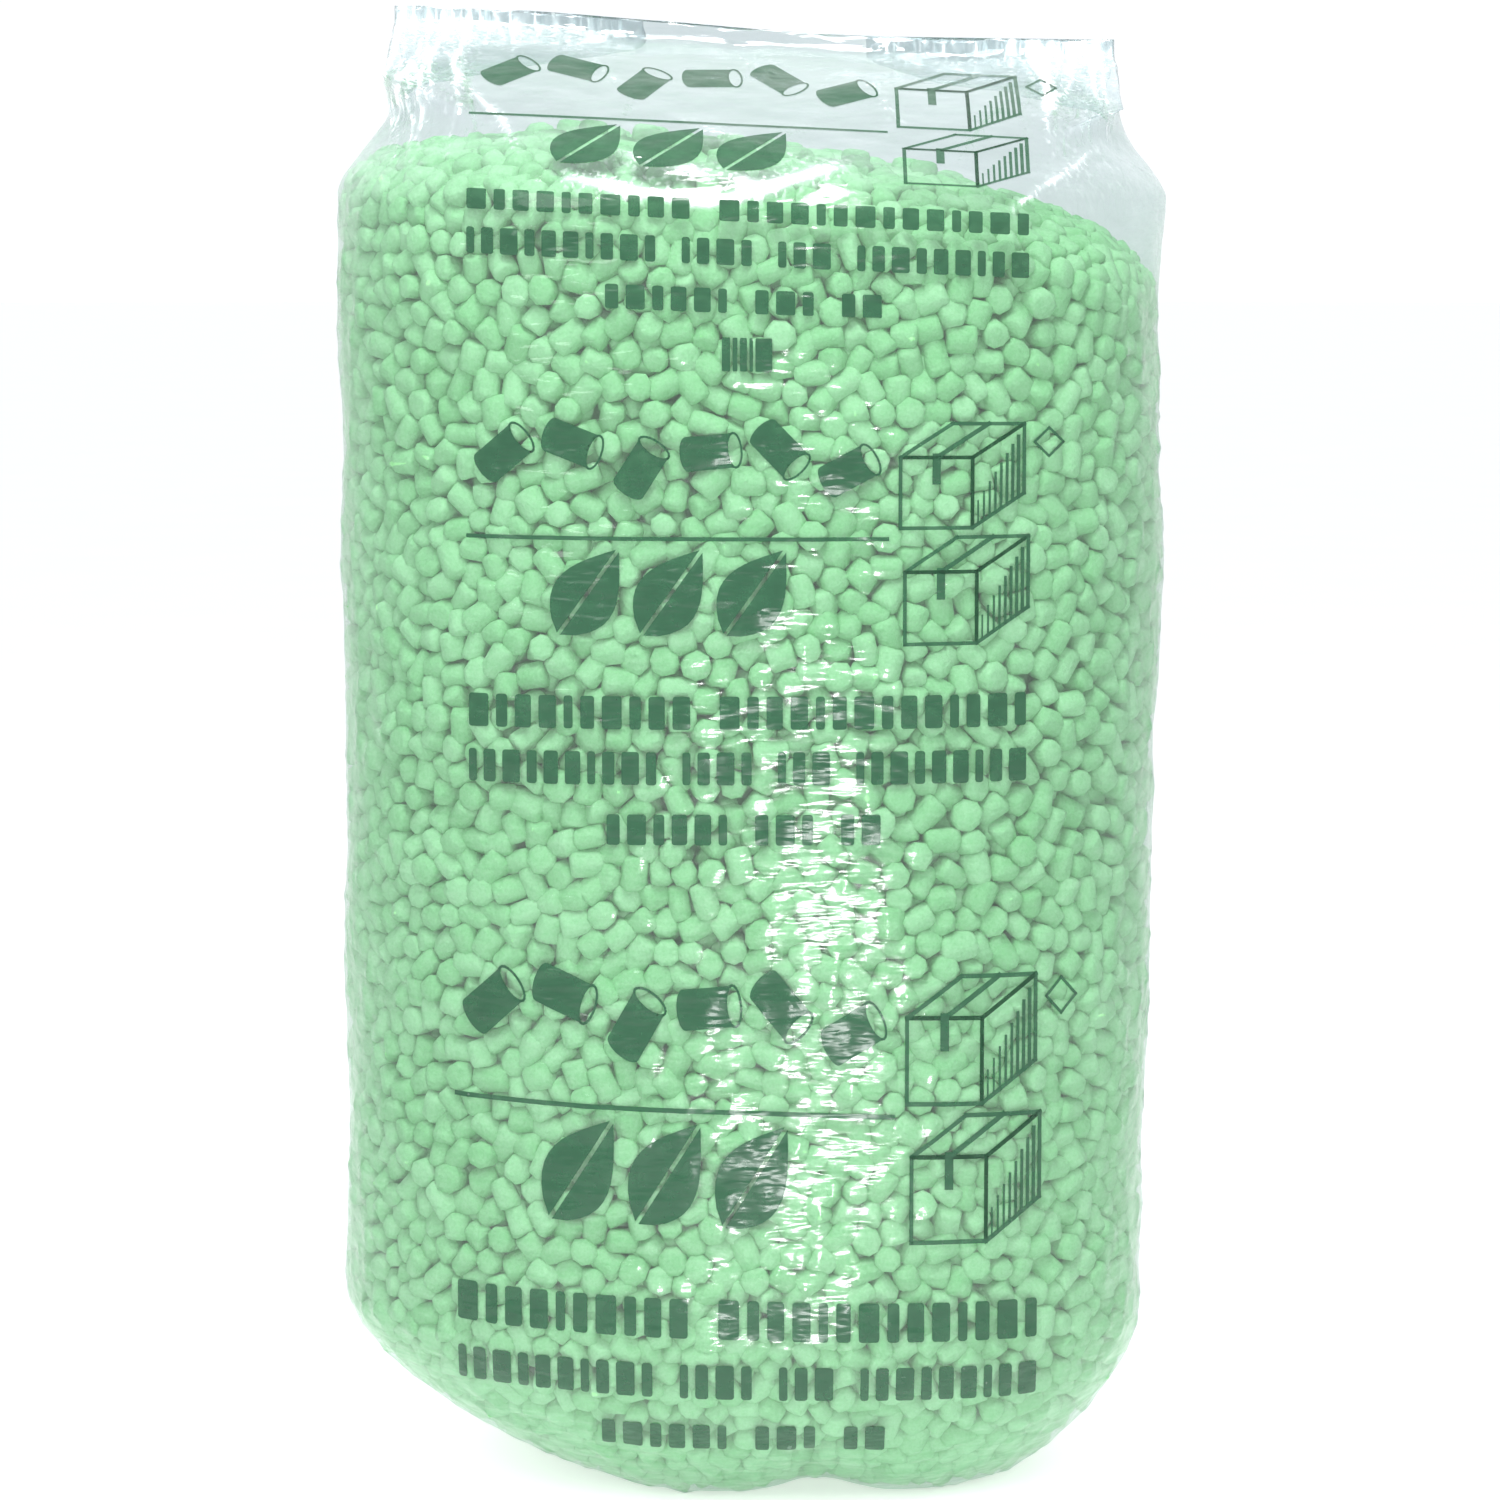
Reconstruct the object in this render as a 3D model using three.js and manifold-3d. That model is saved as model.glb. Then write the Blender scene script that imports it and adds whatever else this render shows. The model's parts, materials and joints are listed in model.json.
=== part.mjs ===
// A clear film bag full of loose-fill starch chips, standing upright.
//
// Millimetres, +Z up, origin on the floor under the middle of the bag, broad
// front towards -Y. The bag is one blown tube of film with a gusset folded in
// at each side. It is welded flat across the top, where the gussets tuck in
// like the gable of a carton, and rounds in to a flat patch that it stands on.
// The packed chips are one solid up to a heap that lies higher on the left,
// and the topmost chips of the heap are pieces of their own.

import * as THREE from "three";
import { mergeVertices } from "three/addons/utils/BufferGeometryUtils.js";
import Module from "manifold-3d";

// Body of the bag: half sizes of its rounded section, low down and at the shoulder
const FOOT_HALF_WIDTH = 358;
const SHOULDER_HALF_WIDTH = 367;
const HALF_DEPTH = 298;
const ROUNDNESS = 2.6;
const SHOULDER_HEIGHT = 1120;

// Foot: the flat patch that carries the bag, and the soft corner around it
const PATCH_HALF_WIDTH = 185;
const PATCH_HALF_DEPTH = 165;
const PATCH_OFFSET = 45;
const CORNER_HEIGHT = 160;
const CORNER_SOFTNESS = 1.5;

// Gable: the film above the shoulder, closing to the weld
const GABLE_HEIGHT = 155;
const GABLE_HALF_DEPTH_AT_WELD = 6;
const GABLE_BULGE = 1.4;
const WELD_HALF_WIDTH = 321;
const NARROWING = [1124, 1208];
const GUSSET_FOLDING = [1172, 1275];
const FILM_LEAN = 0.042;
const LEAN_RISES = [800, 1150];

// Welded fin along the top
const FIN_HEIGHT = 16;
const FIN_THICKNESS = 3;
const FIN_ROOT = 4;

// Film: thickness measured level, and the vent holes in the back of the gable
const WALL = 1;
const VENT_DIAMETER = 8;
const VENT_HEIGHT = 1180;
const VENT_SPACING = 300;
const VENT_SIDES = 12;

// Chips: the packed mass, its heap, and one chip
const FILL_GAP = 0.8;
const HEAP_EDGE_HEIGHT = 1084;
const HEAP_RISE = 86;
const HEAP_ROUNDNESS = 2.6;
const HEAP_LEAN = 0.12;
const CHIP_DIAMETER = 26;
const CHIP_LENGTH = 30;
const CHIP_RIM = 6;
const CHIP_DISH = 1.5;
const CHIP_SIDES = 10;
const LOOSE_CHIPS = 40;
const LOOSE_HALF_WIDTH = 190;
const LOOSE_HALF_DEPTH = 130;
const CHIP_CLEARANCE = 0.5;

// Facets: points along half a gusset and half a panel, and rows of the loft
const GUSSET_POINTS = 6;
const PANEL_POINTS = 9;
const QUARTER = GUSSET_POINTS + PANEL_POINTS;
const AROUND = 4 * QUARTER;
const CORNER_ROWS = 6;
const BODY_ROWS = 6;
const GABLE_ROWS = 9;
const HEAP_ROWS = 7;

const GOLDEN_ANGLE = Math.PI * (3 - Math.sqrt(5));

const wasm = await Module();
wasm.setup();

const mix = THREE.MathUtils.lerp;
const ramp = (value, [from, to]) => THREE.MathUtils.smoothstep(value, from, to);

// ---- sections, each a ring of AROUND points that starts at the middle of the right side ----

// Rounded section of the full bag, its points at equal distances along it.
function roundSection(halfWidth, halfDepth) {
  const power = (value) => Math.sign(value) * Math.abs(value) ** (2 / ROUNDNESS);
  const corners = [];
  const steps = 8 * QUARTER;
  for (let step = 0; step < steps; step += 1) {
    const angle = (step / steps) * 2 * Math.PI;
    const x = halfWidth * power(Math.cos(angle));
    const y = halfDepth * power(Math.sin(angle));
    corners.push(new THREE.Vector3(x, y, 0));
  }
  const outline = new THREE.CatmullRomCurve3(corners, true, "centripetal");
  outline.arcLengthDivisions = steps * 4;
  return outline.getSpacedPoints(AROUND).slice(0, AROUND);
}

// Folded section: flat front and back, and a gusset tucked in between them at
// each side. The wall is taken off on the inside of every layer.
function foldedSection(halfWidth, halfDepth, gusset, wall) {
  const slope = Math.max(gusset, 1) / halfDepth;
  const slant = Math.hypot(1, 1 / slope);
  const corner = halfWidth - wall * slope * (1 + slant);
  const tuck = halfWidth - gusset - wall * slope * slant;
  const depth = halfDepth - wall;
  const quarter = [];
  for (let i = 0; i < GUSSET_POINTS; i += 1) {
    const along = i / GUSSET_POINTS;
    quarter.push(new THREE.Vector2(mix(tuck, corner, along), depth * along));
  }
  for (let i = 0; i < PANEL_POINTS; i += 1) {
    quarter.push(new THREE.Vector2(corner * (1 - i / PANEL_POINTS), depth));
  }
  const middle = [new THREE.Vector2(0, depth)];
  const mirrored = quarter.slice(1).reverse().map((p) => new THREE.Vector2(-p.x, p.y));
  const back = [...quarter, ...middle, ...mirrored];
  const side = new THREE.Vector2(-quarter[0].x, 0);
  const front = back.slice(1).map((p) => new THREE.Vector2(-p.x, -p.y));
  return [...back, side, ...front].map((p) => new THREE.Vector3(p.x, p.y, 0));
}

const filmLean = (height) => FILM_LEAN * ramp(height, LEAN_RISES);

// ---- rings of the loft, from the floor up ----

// Rings of the rounded foot, from the flat patch to the full section.
function footRings(inset) {
  const rings = [];
  for (let row = 0; row <= CORNER_ROWS; row += 1) {
    const angle = (row / CORNER_ROWS) * (Math.PI / 2);
    const out = Math.sin(angle) ** (2 / CORNER_SOFTNESS);
    const up = 1 - Math.cos(angle) ** (2 / CORNER_SOFTNESS);
    const halfWidth = mix(PATCH_HALF_WIDTH, FOOT_HALF_WIDTH, out) - inset;
    const halfDepth = mix(PATCH_HALF_DEPTH, HALF_DEPTH, out) - inset;
    const height = inset + (CORNER_HEIGHT - inset) * up;
    const offset = PATCH_OFFSET * (1 - out);
    rings.push(placed(roundSection(halfWidth, halfDepth), offset, height, 0));
  }
  return rings;
}

// Rings of the upright body above the foot, up to a height.
function bodyRings(inset, top, lean) {
  const rings = [];
  for (let row = 1; row <= BODY_ROWS; row += 1) {
    const height = mix(CORNER_HEIGHT, top, row / BODY_ROWS);
    const halfWidth = bodyHalfWidth(height) - inset;
    rings.push(placed(roundSection(halfWidth, HALF_DEPTH - inset), 0, height, lean(height)));
  }
  return rings;
}

// Rings of the gable, from the rounded shoulder to the folded section at the weld.
function gableRings(inset) {
  const rings = [];
  for (let row = 1; row <= GABLE_ROWS; row += 1) {
    const rise = row / GABLE_ROWS;
    const height = SHOULDER_HEIGHT + GABLE_HEIGHT * rise;
    const closing = 1 - rise ** GABLE_BULGE;
    const halfDepth = mix(GABLE_HALF_DEPTH_AT_WELD, HALF_DEPTH, closing);
    const halfWidth = mix(SHOULDER_HALF_WIDTH, WELD_HALF_WIDTH, ramp(height, NARROWING));
    const folding = ramp(height, GUSSET_FOLDING);
    const outside = gableSection(halfWidth, halfDepth, folding, 0);
    const widest = Math.max(...outside.map((p) => p.x));
    const ring = gableSection(halfWidth, halfDepth, folding, inset);
    ring.forEach((p) => p.setX((p.x * halfWidth) / widest));
    rings.push(placed(ring, 0, height, filmLean(height)));
  }
  return rings;
}

// Section part of the way from round to folded.
function gableSection(halfWidth, halfDepth, folding, inset) {
  const gusset = (folding * gussetLength() * GUSSET_POINTS) / QUARTER;
  const round = roundSection(halfWidth - inset, halfDepth - inset);
  const folded = foldedSection(halfWidth, halfDepth, gusset, inset);
  return round.map((point, i) => point.lerp(folded[i], folding));
}

// Rings of the heap: the section shrinks to the crest as the heap rises.
function heapRings(halfWidth, halfDepth) {
  const rings = [];
  for (let row = 1; row < HEAP_ROWS; row += 1) {
    const angle = (row / HEAP_ROWS) * (Math.PI / 2);
    const shrink = Math.cos(angle) ** (2 / HEAP_ROUNDNESS);
    const height = HEAP_EDGE_HEIGHT + HEAP_RISE * Math.sin(angle) ** (2 / HEAP_ROUNDNESS);
    const section = roundSection(halfWidth * shrink, halfDepth * shrink);
    rings.push(placed(section, 0, height, HEAP_LEAN));
  }
  return rings;
}

function bodyHalfWidth(height) {
  const rise = (height - CORNER_HEIGHT) / (SHOULDER_HEIGHT - CORNER_HEIGHT);
  return mix(FOOT_HALF_WIDTH, SHOULDER_HALF_WIDTH, rise);
}

// A quarter of the distance round the bag, which the film keeps up to the weld.
function gussetLength() {
  const ring = roundSection(SHOULDER_HALF_WIDTH, HALF_DEPTH);
  return (ring[0].distanceTo(ring[1]) * AROUND) / 4;
}

// A ring moved to its height, leaning down towards +X.
function placed(section, offset, height, lean) {
  return section.map((p) => new THREE.Vector3(p.x + offset, p.y, height - lean * p.x));
}

// ---- solids ----

// Closed solid through a stack of rings, its ends capped flat or to a crest point.
function loft(rings, crest = null) {
  const points = rings.flat();
  const faces = [];
  for (let row = 0; row < rings.length - 1; row += 1) {
    for (let i = 0; i < AROUND; i += 1) {
      const next = (i + 1) % AROUND;
      const low = row * AROUND;
      const high = low + AROUND;
      faces.push([low + i, low + next, high + next], [low + i, high + next, high + i]);
    }
  }
  const bottom = rings[0].map((p) => new THREE.Vector2(p.x, p.y));
  THREE.ShapeUtils.triangulateShape(bottom, []).forEach(([a, b, c]) => faces.push([a, c, b]));
  const last = (rings.length - 1) * AROUND;
  if (crest) {
    points.push(crest);
    for (let i = 0; i < AROUND; i += 1) {
      faces.push([last + i, last + ((i + 1) % AROUND), points.length - 1]);
    }
  } else {
    const top = rings[rings.length - 1].map((p) => new THREE.Vector2(p.x, p.y));
    THREE.ShapeUtils.triangulateShape(top, []).forEach((face) => faces.push(face.map((i) => last + i)));
  }
  const geometry = new THREE.BufferGeometry().setFromPoints(points);
  geometry.setIndex(faces.flat());
  return geometry;
}

// Solid for cutting and joining, from any closed geometry.
function solid(geometry) {
  const bare = geometry.clone();
  bare.deleteAttribute("normal");
  bare.deleteAttribute("uv");
  const merged = mergeVertices(bare);
  const vertProperties = new Float32Array(merged.attributes.position.array);
  const triVerts = new Uint32Array(merged.index.array);
  return new wasm.Manifold(new wasm.Mesh({ numProp: 3, vertProperties, triVerts }));
}

function fromSolid(body) {
  const { vertProperties, triVerts } = body.getMesh();
  const geometry = new THREE.BufferGeometry();
  geometry.setAttribute("position", new THREE.BufferAttribute(vertProperties, 3));
  geometry.setIndex(new THREE.BufferAttribute(triVerts, 1));
  geometry.computeVertexNormals();
  return geometry;
}

// The film: the outer form with its welded fin, hollowed, with vents at the back.
function makeFilm() {
  const rings = (inset) => [
    ...footRings(inset),
    ...bodyRings(inset, SHOULDER_HEIGHT, filmLean),
    ...gableRings(inset),
  ];
  const outer = solid(loft(rings(0)));
  const cavity = solid(loft(rings(WALL).map(lowered)));
  return fromSolid(outer.add(solid(makeFin())).subtract(cavity).subtract(solid(makeVents())));
}

// The topmost ring of the cavity stays a wall's thickness below the weld.
function lowered(ring, index, rings) {
  const drop = index === rings.length - 1 ? WALL : 0;
  return ring.map((p) => new THREE.Vector3(p.x, p.y, p.z - drop));
}

// The fin: a flat strip that closes the gable and the tucked gussets.
function makeFin() {
  const weld = SHOULDER_HEIGHT + GABLE_HEIGHT;
  const edge = (x, height) => new THREE.Vector2(x, height - filmLean(weld) * x);
  const outline = new THREE.Shape([
    edge(-WELD_HALF_WIDTH, weld - FIN_ROOT),
    edge(WELD_HALF_WIDTH, weld - FIN_ROOT),
    edge(WELD_HALF_WIDTH, weld + FIN_HEIGHT),
    edge(-WELD_HALF_WIDTH, weld + FIN_HEIGHT),
  ]);
  const fin = new THREE.ExtrudeGeometry(outline, { depth: FIN_THICKNESS, bevelEnabled: false });
  return fin.rotateX(Math.PI / 2).translate(0, FIN_THICKNESS / 2, 0);
}

function makeVents() {
  const vents = [-1, 1].map((side) => {
    const radius = VENT_DIAMETER / 2;
    const punch = new THREE.CylinderGeometry(radius, radius, HALF_DEPTH, VENT_SIDES);
    return punch.translate((side * VENT_SPACING) / 2, HALF_DEPTH / 2 + 60, VENT_HEIGHT);
  });
  return fromSolid(solid(vents[0]).add(solid(vents[1])));
}

// The packed chips below the heap, as one solid a small gap inside the film.
function makeFill() {
  const inset = WALL + FILL_GAP;
  const lean = (height) => HEAP_LEAN * ramp(height, [CORNER_HEIGHT, HEAP_EDGE_HEIGHT]);
  const halfWidth = bodyHalfWidth(HEAP_EDGE_HEIGHT) - inset;
  const rings = [
    ...footRings(inset),
    ...bodyRings(inset, HEAP_EDGE_HEIGHT, lean),
    ...heapRings(halfWidth, HALF_DEPTH - inset),
  ];
  const crest = new THREE.Vector3(0, 0, HEAP_EDGE_HEIGHT + HEAP_RISE);
  return fromSolid(solid(loft(rings, crest)));
}

// One chip: a short cut of an extruded foam rod, with soft rims and dished ends.
function makeChip() {
  const radius = CHIP_DIAMETER / 2;
  const half = CHIP_LENGTH / 2;
  const profile = [new THREE.Vector2(0, CHIP_DISH - half)];
  for (const end of [-1, 1]) {
    const rim = [0, 45, 90].map((degrees) => {
      const angle = THREE.MathUtils.degToRad(degrees);
      const out = radius - CHIP_RIM + CHIP_RIM * Math.sin(angle);
      return new THREE.Vector2(out, end * (half - CHIP_RIM + CHIP_RIM * Math.cos(angle)));
    });
    profile.push(...(end < 0 ? rim : rim.reverse()));
  }
  profile.push(new THREE.Vector2(0, half - CHIP_DISH));
  return fromSolid(solid(new THREE.LatheGeometry(profile, CHIP_SIDES)));
}

// ---- assembly ----

const filmFinish = { color: 0xd8e9e9, roughness: 0.15, metalness: 0, transparent: true, opacity: 0.25 };
const chipFinish = { color: 0xa5d8a9, roughness: 0.9, metalness: 0 };

function piece(name, geometry, finish) {
  const mesh = new THREE.Mesh(geometry, new THREE.MeshStandardMaterial(finish));
  mesh.name = name;
  return mesh;
}

// Lowers a chip on to the heap until its nearest point clears it.
function layOn(heap, chip) {
  chip.updateMatrixWorld(true);
  const down = new THREE.Vector3(0, 0, -1);
  const corners = chip.geometry.attributes.position;
  let room = Infinity;
  for (let i = 0; i < corners.count; i += 1) {
    const corner = new THREE.Vector3().fromBufferAttribute(corners, i).applyMatrix4(chip.matrixWorld);
    const [hit] = new THREE.Raycaster(corner, down).intersectObject(heap);
    room = Math.min(room, hit.distance);
  }
  chip.position.z -= room - CHIP_CLEARANCE;
  chip.updateMatrixWorld(true);
}

// The topmost chips, spread over the heap in a sunflower pattern, each turned its own way.
function addLooseChips(bag, heap) {
  const chipShape = makeChip();
  for (let i = 0; i < LOOSE_CHIPS; i += 1) {
    const chip = piece(`chip_${String(i + 1).padStart(2, "0")}`, chipShape, chipFinish);
    const spread = Math.sqrt((i + 0.5) / LOOSE_CHIPS);
    const x = LOOSE_HALF_WIDTH * spread * Math.cos(i * GOLDEN_ANGLE);
    const y = LOOSE_HALF_DEPTH * spread * Math.sin(i * GOLDEN_ANGLE);
    const standing = i % 3 === 0 ? Math.PI / 2 : 0;
    chip.rotation.set(standing, Math.atan(HEAP_LEAN), i, "YZX");
    chip.position.set(x, y, SHOULDER_HEIGHT + GABLE_HEIGHT);
    layOn(heap, chip);
    bag.add(chip);
  }
}

const bag = new THREE.Group();
const chipFill = piece("chip_fill", makeFill(), chipFinish);
bag.add(piece("bag_film", makeFilm(), filmFinish));
bag.add(chipFill);
addLooseChips(bag, chipFill);

export default bag;
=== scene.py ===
"""A clear film bag of starch packing chips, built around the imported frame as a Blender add-on."""

import json
import math

import bmesh
import bpy
import numpy as np
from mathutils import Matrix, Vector
from mathutils.bvhtree import BVHTree
from mathutils.kdtree import KDTree

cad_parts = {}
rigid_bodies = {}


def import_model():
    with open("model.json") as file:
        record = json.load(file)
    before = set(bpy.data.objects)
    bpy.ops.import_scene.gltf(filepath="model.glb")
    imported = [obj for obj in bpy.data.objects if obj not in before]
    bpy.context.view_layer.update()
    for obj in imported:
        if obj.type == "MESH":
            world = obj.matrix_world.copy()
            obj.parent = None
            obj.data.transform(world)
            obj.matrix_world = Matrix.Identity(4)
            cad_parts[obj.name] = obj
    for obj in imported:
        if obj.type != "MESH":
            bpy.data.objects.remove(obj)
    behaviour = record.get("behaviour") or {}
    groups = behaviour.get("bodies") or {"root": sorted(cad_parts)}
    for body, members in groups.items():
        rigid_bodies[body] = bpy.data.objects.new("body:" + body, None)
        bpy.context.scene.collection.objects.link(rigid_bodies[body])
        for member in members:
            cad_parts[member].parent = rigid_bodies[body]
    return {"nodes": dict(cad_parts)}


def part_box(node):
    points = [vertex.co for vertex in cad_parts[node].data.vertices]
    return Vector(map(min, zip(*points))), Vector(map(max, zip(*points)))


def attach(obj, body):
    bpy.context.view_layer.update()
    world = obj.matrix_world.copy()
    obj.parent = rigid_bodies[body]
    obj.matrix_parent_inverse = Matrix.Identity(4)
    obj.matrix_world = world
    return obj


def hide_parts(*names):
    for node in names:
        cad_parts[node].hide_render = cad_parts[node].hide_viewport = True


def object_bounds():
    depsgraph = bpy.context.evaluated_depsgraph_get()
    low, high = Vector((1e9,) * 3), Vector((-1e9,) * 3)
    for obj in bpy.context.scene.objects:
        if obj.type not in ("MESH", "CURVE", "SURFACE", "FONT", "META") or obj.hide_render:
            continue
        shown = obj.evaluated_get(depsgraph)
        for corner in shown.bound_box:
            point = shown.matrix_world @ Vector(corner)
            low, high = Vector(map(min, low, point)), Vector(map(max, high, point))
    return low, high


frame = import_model()
CAD_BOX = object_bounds()

bl_info = {
    "name": "Packing chip bag",
    "version": (1, 0, 0),
    "blender": (4, 5, 0),
    "location": "View3D > Sidebar > Chip bag",
    "description": "Builds a gusseted clear film bag packed with starch chips",
    "category": "Add Mesh",
}

_, FILM_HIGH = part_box("bag_film")
LOOSE_CHIPS = sorted(name for name in frame["nodes"] if name[5:].isdigit())

# Share of each quarter of the bag's girth that belongs to the gusset
GUSSET_SHARE = 0.4
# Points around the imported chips' skin
AROUND = 380
# Points around the gable's film, a multiple of 40 so that its gusset folds fall on points; the body's
# film has half as many
FILM_AROUND = 720
PATCH_ROWS, CORNER_ROWS, BODY_ROWS, GABLE_ROWS = 12, 40, 150, 64
HEAP_ROWS = 40
# Steps of the curve that a rounded section is measured along
FINE_STEPS = 1440
# Rings of the welded fin: share of its height, half its depth
FIN_RINGS = ((0.25, 0.0016), (0.6, 0.0016), (0.85, 0.0012), (1.0, 0.0002))
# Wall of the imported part's film, which the chips stay inside
FILM_WALL = 0.001
# Grid steps of the hidden core, up and around
CORE_STEP_UP, CORE_STEP_AROUND = 3, 5


# ---- properties ----


def length(name, description, default):
    """A length in metres."""
    return bpy.props.FloatProperty(
        name=name, description=description, default=default, unit="LENGTH", subtype="DISTANCE", precision=4
    )


def colour(name, description, default):
    """A colour by its linear red, green and blue."""
    return bpy.props.FloatVectorProperty(
        name=name, description=description, default=default, subtype="COLOR", size=3, min=0, max=1
    )


class BagForm(bpy.types.PropertyGroup):
    """Sizes of the bag."""

    shoulder_half_width: length("Shoulder half width", "Half the bag's width at the shoulder", FILM_HIGH.x)
    foot_half_width: length("Foot half width", "Half the bag's width above the foot", FILM_HIGH.x - 0.009)
    half_depth: length("Half depth", "Half the bag's depth", FILM_HIGH.y)
    roundness: bpy.props.FloatProperty(
        name="Roundness", description="Power of the rounded section, 2 for an ellipse", default=2.6
    )
    patch_half_width: length("Patch half width", "Half width of the flat patch underneath", 0.185)
    patch_half_depth: length("Patch half depth", "Half depth of the flat patch underneath", 0.165)
    patch_offset: length("Patch offset", "How far the patch lies to the right", 0.045)
    corner_height: length("Corner height", "Height of the rounded foot", 0.160)
    corner_softness: bpy.props.FloatProperty(
        name="Corner softness", description="Power of the foot's corner, 2 for a round one", default=1.5
    )
    shoulder_height: length("Shoulder height", "Where the gable begins", 1.120)
    weld_height: length("Weld height", "Where front and back meet", 1.275)
    fin_height: length("Fin height", "Height of the welded fin", 0.016)
    weld_half_width: length("Weld half width", "Half the width of the top weld", 0.3185)
    film_lean: bpy.props.FloatProperty(
        name="Film lean", description="Slope of the gable down to the right", default=0.042
    )
    heap_edge: length("Heap edge", "Height of the heap's edge", 1.084)
    heap_crest: length("Heap crest", "Height of the heap's crest", 1.181)
    heap_lean: bpy.props.FloatProperty(
        name="Heap lean", description="Slope of the heap down to the right", default=0.12
    )
    lumps: length("Lumps", "Depth of the slow waves in the bag's sides", 0.0035)
    tuck: length("Tuck", "How far the front edge of the foot is tucked up", 0.014)
    weld_sag: length("Weld sag", "How far the weld sags", 0.010)
    weld_shift: length("Weld shift", "How far the weld lies to the right", 0.004)
    right_shoulder: length("Right shoulder", "How much higher the right shoulder is than the left", 0.024)
    foot_shift: length("Foot shift", "How far the body's foot lies to the right", -0.0045)
    foot_lift: length("Foot lift", "How far the left of the foot hangs clear of the floor", 0.009)


class ChipForm(bpy.types.PropertyGroup):
    """Sizes and colours of the chips."""

    radius: length("Radius", "Radius of a chip", 0.0130)
    length: length("Length", "Length of a chip", 0.0300)
    rim: length("Rim", "Round on a chip's rim", 0.0050)
    spacing: length("Spacing", "Distance between neighbouring chips", 0.0249)
    inner_depth: length("Inner depth", "How far the second layer lies behind the first", 0.0135)
    core_depth: length("Core depth", "How far the core lies inside the bag", 0.036)
    settle: length("Settle", "How far the loose chips sink between their neighbours", 0.011)
    dark: colour("Dark green", "Darkest chips", (0.185, 0.465, 0.195))
    light: colour("Light green", "Lightest chips", (0.310, 0.585, 0.315))
    seed: bpy.props.IntProperty(name="Seed", description="Seed of the packing", default=7)


class FilmForm(bpy.types.PropertyGroup):
    """How the film lies and looks."""

    clearance: length("Clearance", "Gap between a chip and the film over it", 0.0009)
    ripple: length("Ripple", "Height of the fine level ripples", 0.0004)
    tint: colour("Tint", "Colour that one layer of film lets through", (0.75, 0.79, 0.80))
    haze: colour("Haze", "Colour of the empty film's milky haze", (0.76, 0.86, 0.88))
    # The green of this haze is painted light: the green that the chips behind throw on the milky film
    haze_with_painted_green: colour("Full haze", "Colour of that haze with green chips behind it", (0.55, 0.84, 0.63))


class PrintForm(bpy.types.PropertyGroup):
    """The generic print."""

    ink: colour("Ink", "Colour of the ink", (0.014, 0.056, 0.028))
    cell: length("Cell", "Size of the print's facets", 0.005)
    rise: length("Rise", "How far proud of the film's face the ink lies", 0.0005)


# ---- the bag's form ----


def ramp(value, start, end):
    """0 up to the start, 1 from the end, and a smooth step between them."""
    share = np.clip((value - start) / (end - start), 0, 1)
    return share * share * (3 - 2 * share)


def round_ring(form, half_width, half_depth, around):
    """Rounded section with its points at equal distances, from the middle of the right side."""
    angle = np.linspace(0, 2 * math.pi, FINE_STEPS + 1)
    power = 2 / form.roundness
    x = half_width * np.sign(np.cos(angle)) * np.abs(np.cos(angle)) ** power
    y = half_depth * np.sign(np.sin(angle)) * np.abs(np.sin(angle)) ** power
    run = np.concatenate([[0], np.cumsum(np.hypot(np.diff(x), np.diff(y)))])
    at = np.arange(around) / around * run[-1]
    return np.stack([np.interp(at, run, x), np.interp(at, run, y)], axis=1)


def folded_ring(half_width, half_depth, gusset, around):
    """Flat front and back with the gussets tucked in between them."""
    turn = np.arange(around) / around * 4
    quarter = np.floor(turn)
    along = turn - quarter
    along = np.where(quarter % 2 == 1, 1 - along, along)
    side = along / GUSSET_SHARE
    panel = (along - GUSSET_SHARE) / (1 - GUSSET_SHARE)
    tucked = along < GUSSET_SHARE
    x = np.where(tucked, half_width - gusset * (1 - side), half_width * (1 - panel))
    y = np.where(tucked, half_depth * side, half_depth)
    right = (quarter == 0) | (quarter == 3)
    back = quarter < 2
    return np.stack([np.where(right, x, -x), np.where(back, y, -y)], axis=1)


def placed(ring, offset, height, lean):
    """A section moved to its offset and height, sloping down to the right by its lean."""
    x = ring[:, 0] + offset
    return np.stack([x, ring[:, 1], height - lean * ring[:, 0]], axis=1)


def foot_rings(form, inset, around):
    """The flat patch from its middle out, and the soft corner around it."""
    rings = []
    width, depth = form.patch_half_width - inset, form.patch_half_depth - inset
    for row in range(PATCH_ROWS):
        share = (row + 0.5) / (PATCH_ROWS + 0.5)
        ring = round_ring(form, width * share, depth * share, around)
        rings.append(placed(ring, form.patch_offset, inset, 0))
    for row in range(CORNER_ROWS + 1):
        angle = row / CORNER_ROWS * math.pi / 2
        out = math.sin(angle) ** (2 / form.corner_softness)
        up = 1 - math.cos(angle) ** (2 / form.corner_softness) if row < CORNER_ROWS else 1
        half_width = form.patch_half_width + (form.foot_half_width - form.patch_half_width) * out
        half_depth = form.patch_half_depth + (form.half_depth - form.patch_half_depth) * out
        ring = round_ring(form, half_width - inset, half_depth - inset, around)
        height = inset + (form.corner_height - inset) * up
        rings.append(placed(ring, form.patch_offset * (1 - out) + form.foot_shift * out, height, 0))
    return rings


def body_half_width(form, height):
    """Half the width of the upright part at a height."""
    rise = (height - form.corner_height) / (form.shoulder_height - form.corner_height)
    return form.foot_half_width + (form.shoulder_half_width - form.foot_half_width) * rise


def body_rings(form, inset, top, lean, around):
    """The upright part, from the foot's corner to a given top."""
    rings = []
    shift_end = 0.75
    for row in range(1, BODY_ROWS + 1):
        height = form.corner_height + (top - form.corner_height) * row / BODY_ROWS
        ring = round_ring(form, body_half_width(form, height) - inset, form.half_depth - inset, around)
        shift = form.foot_shift * (1 - ramp(height, form.corner_height, shift_end))
        rings.append(placed(ring, shift, height, lean(height)))
    return rings


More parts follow.
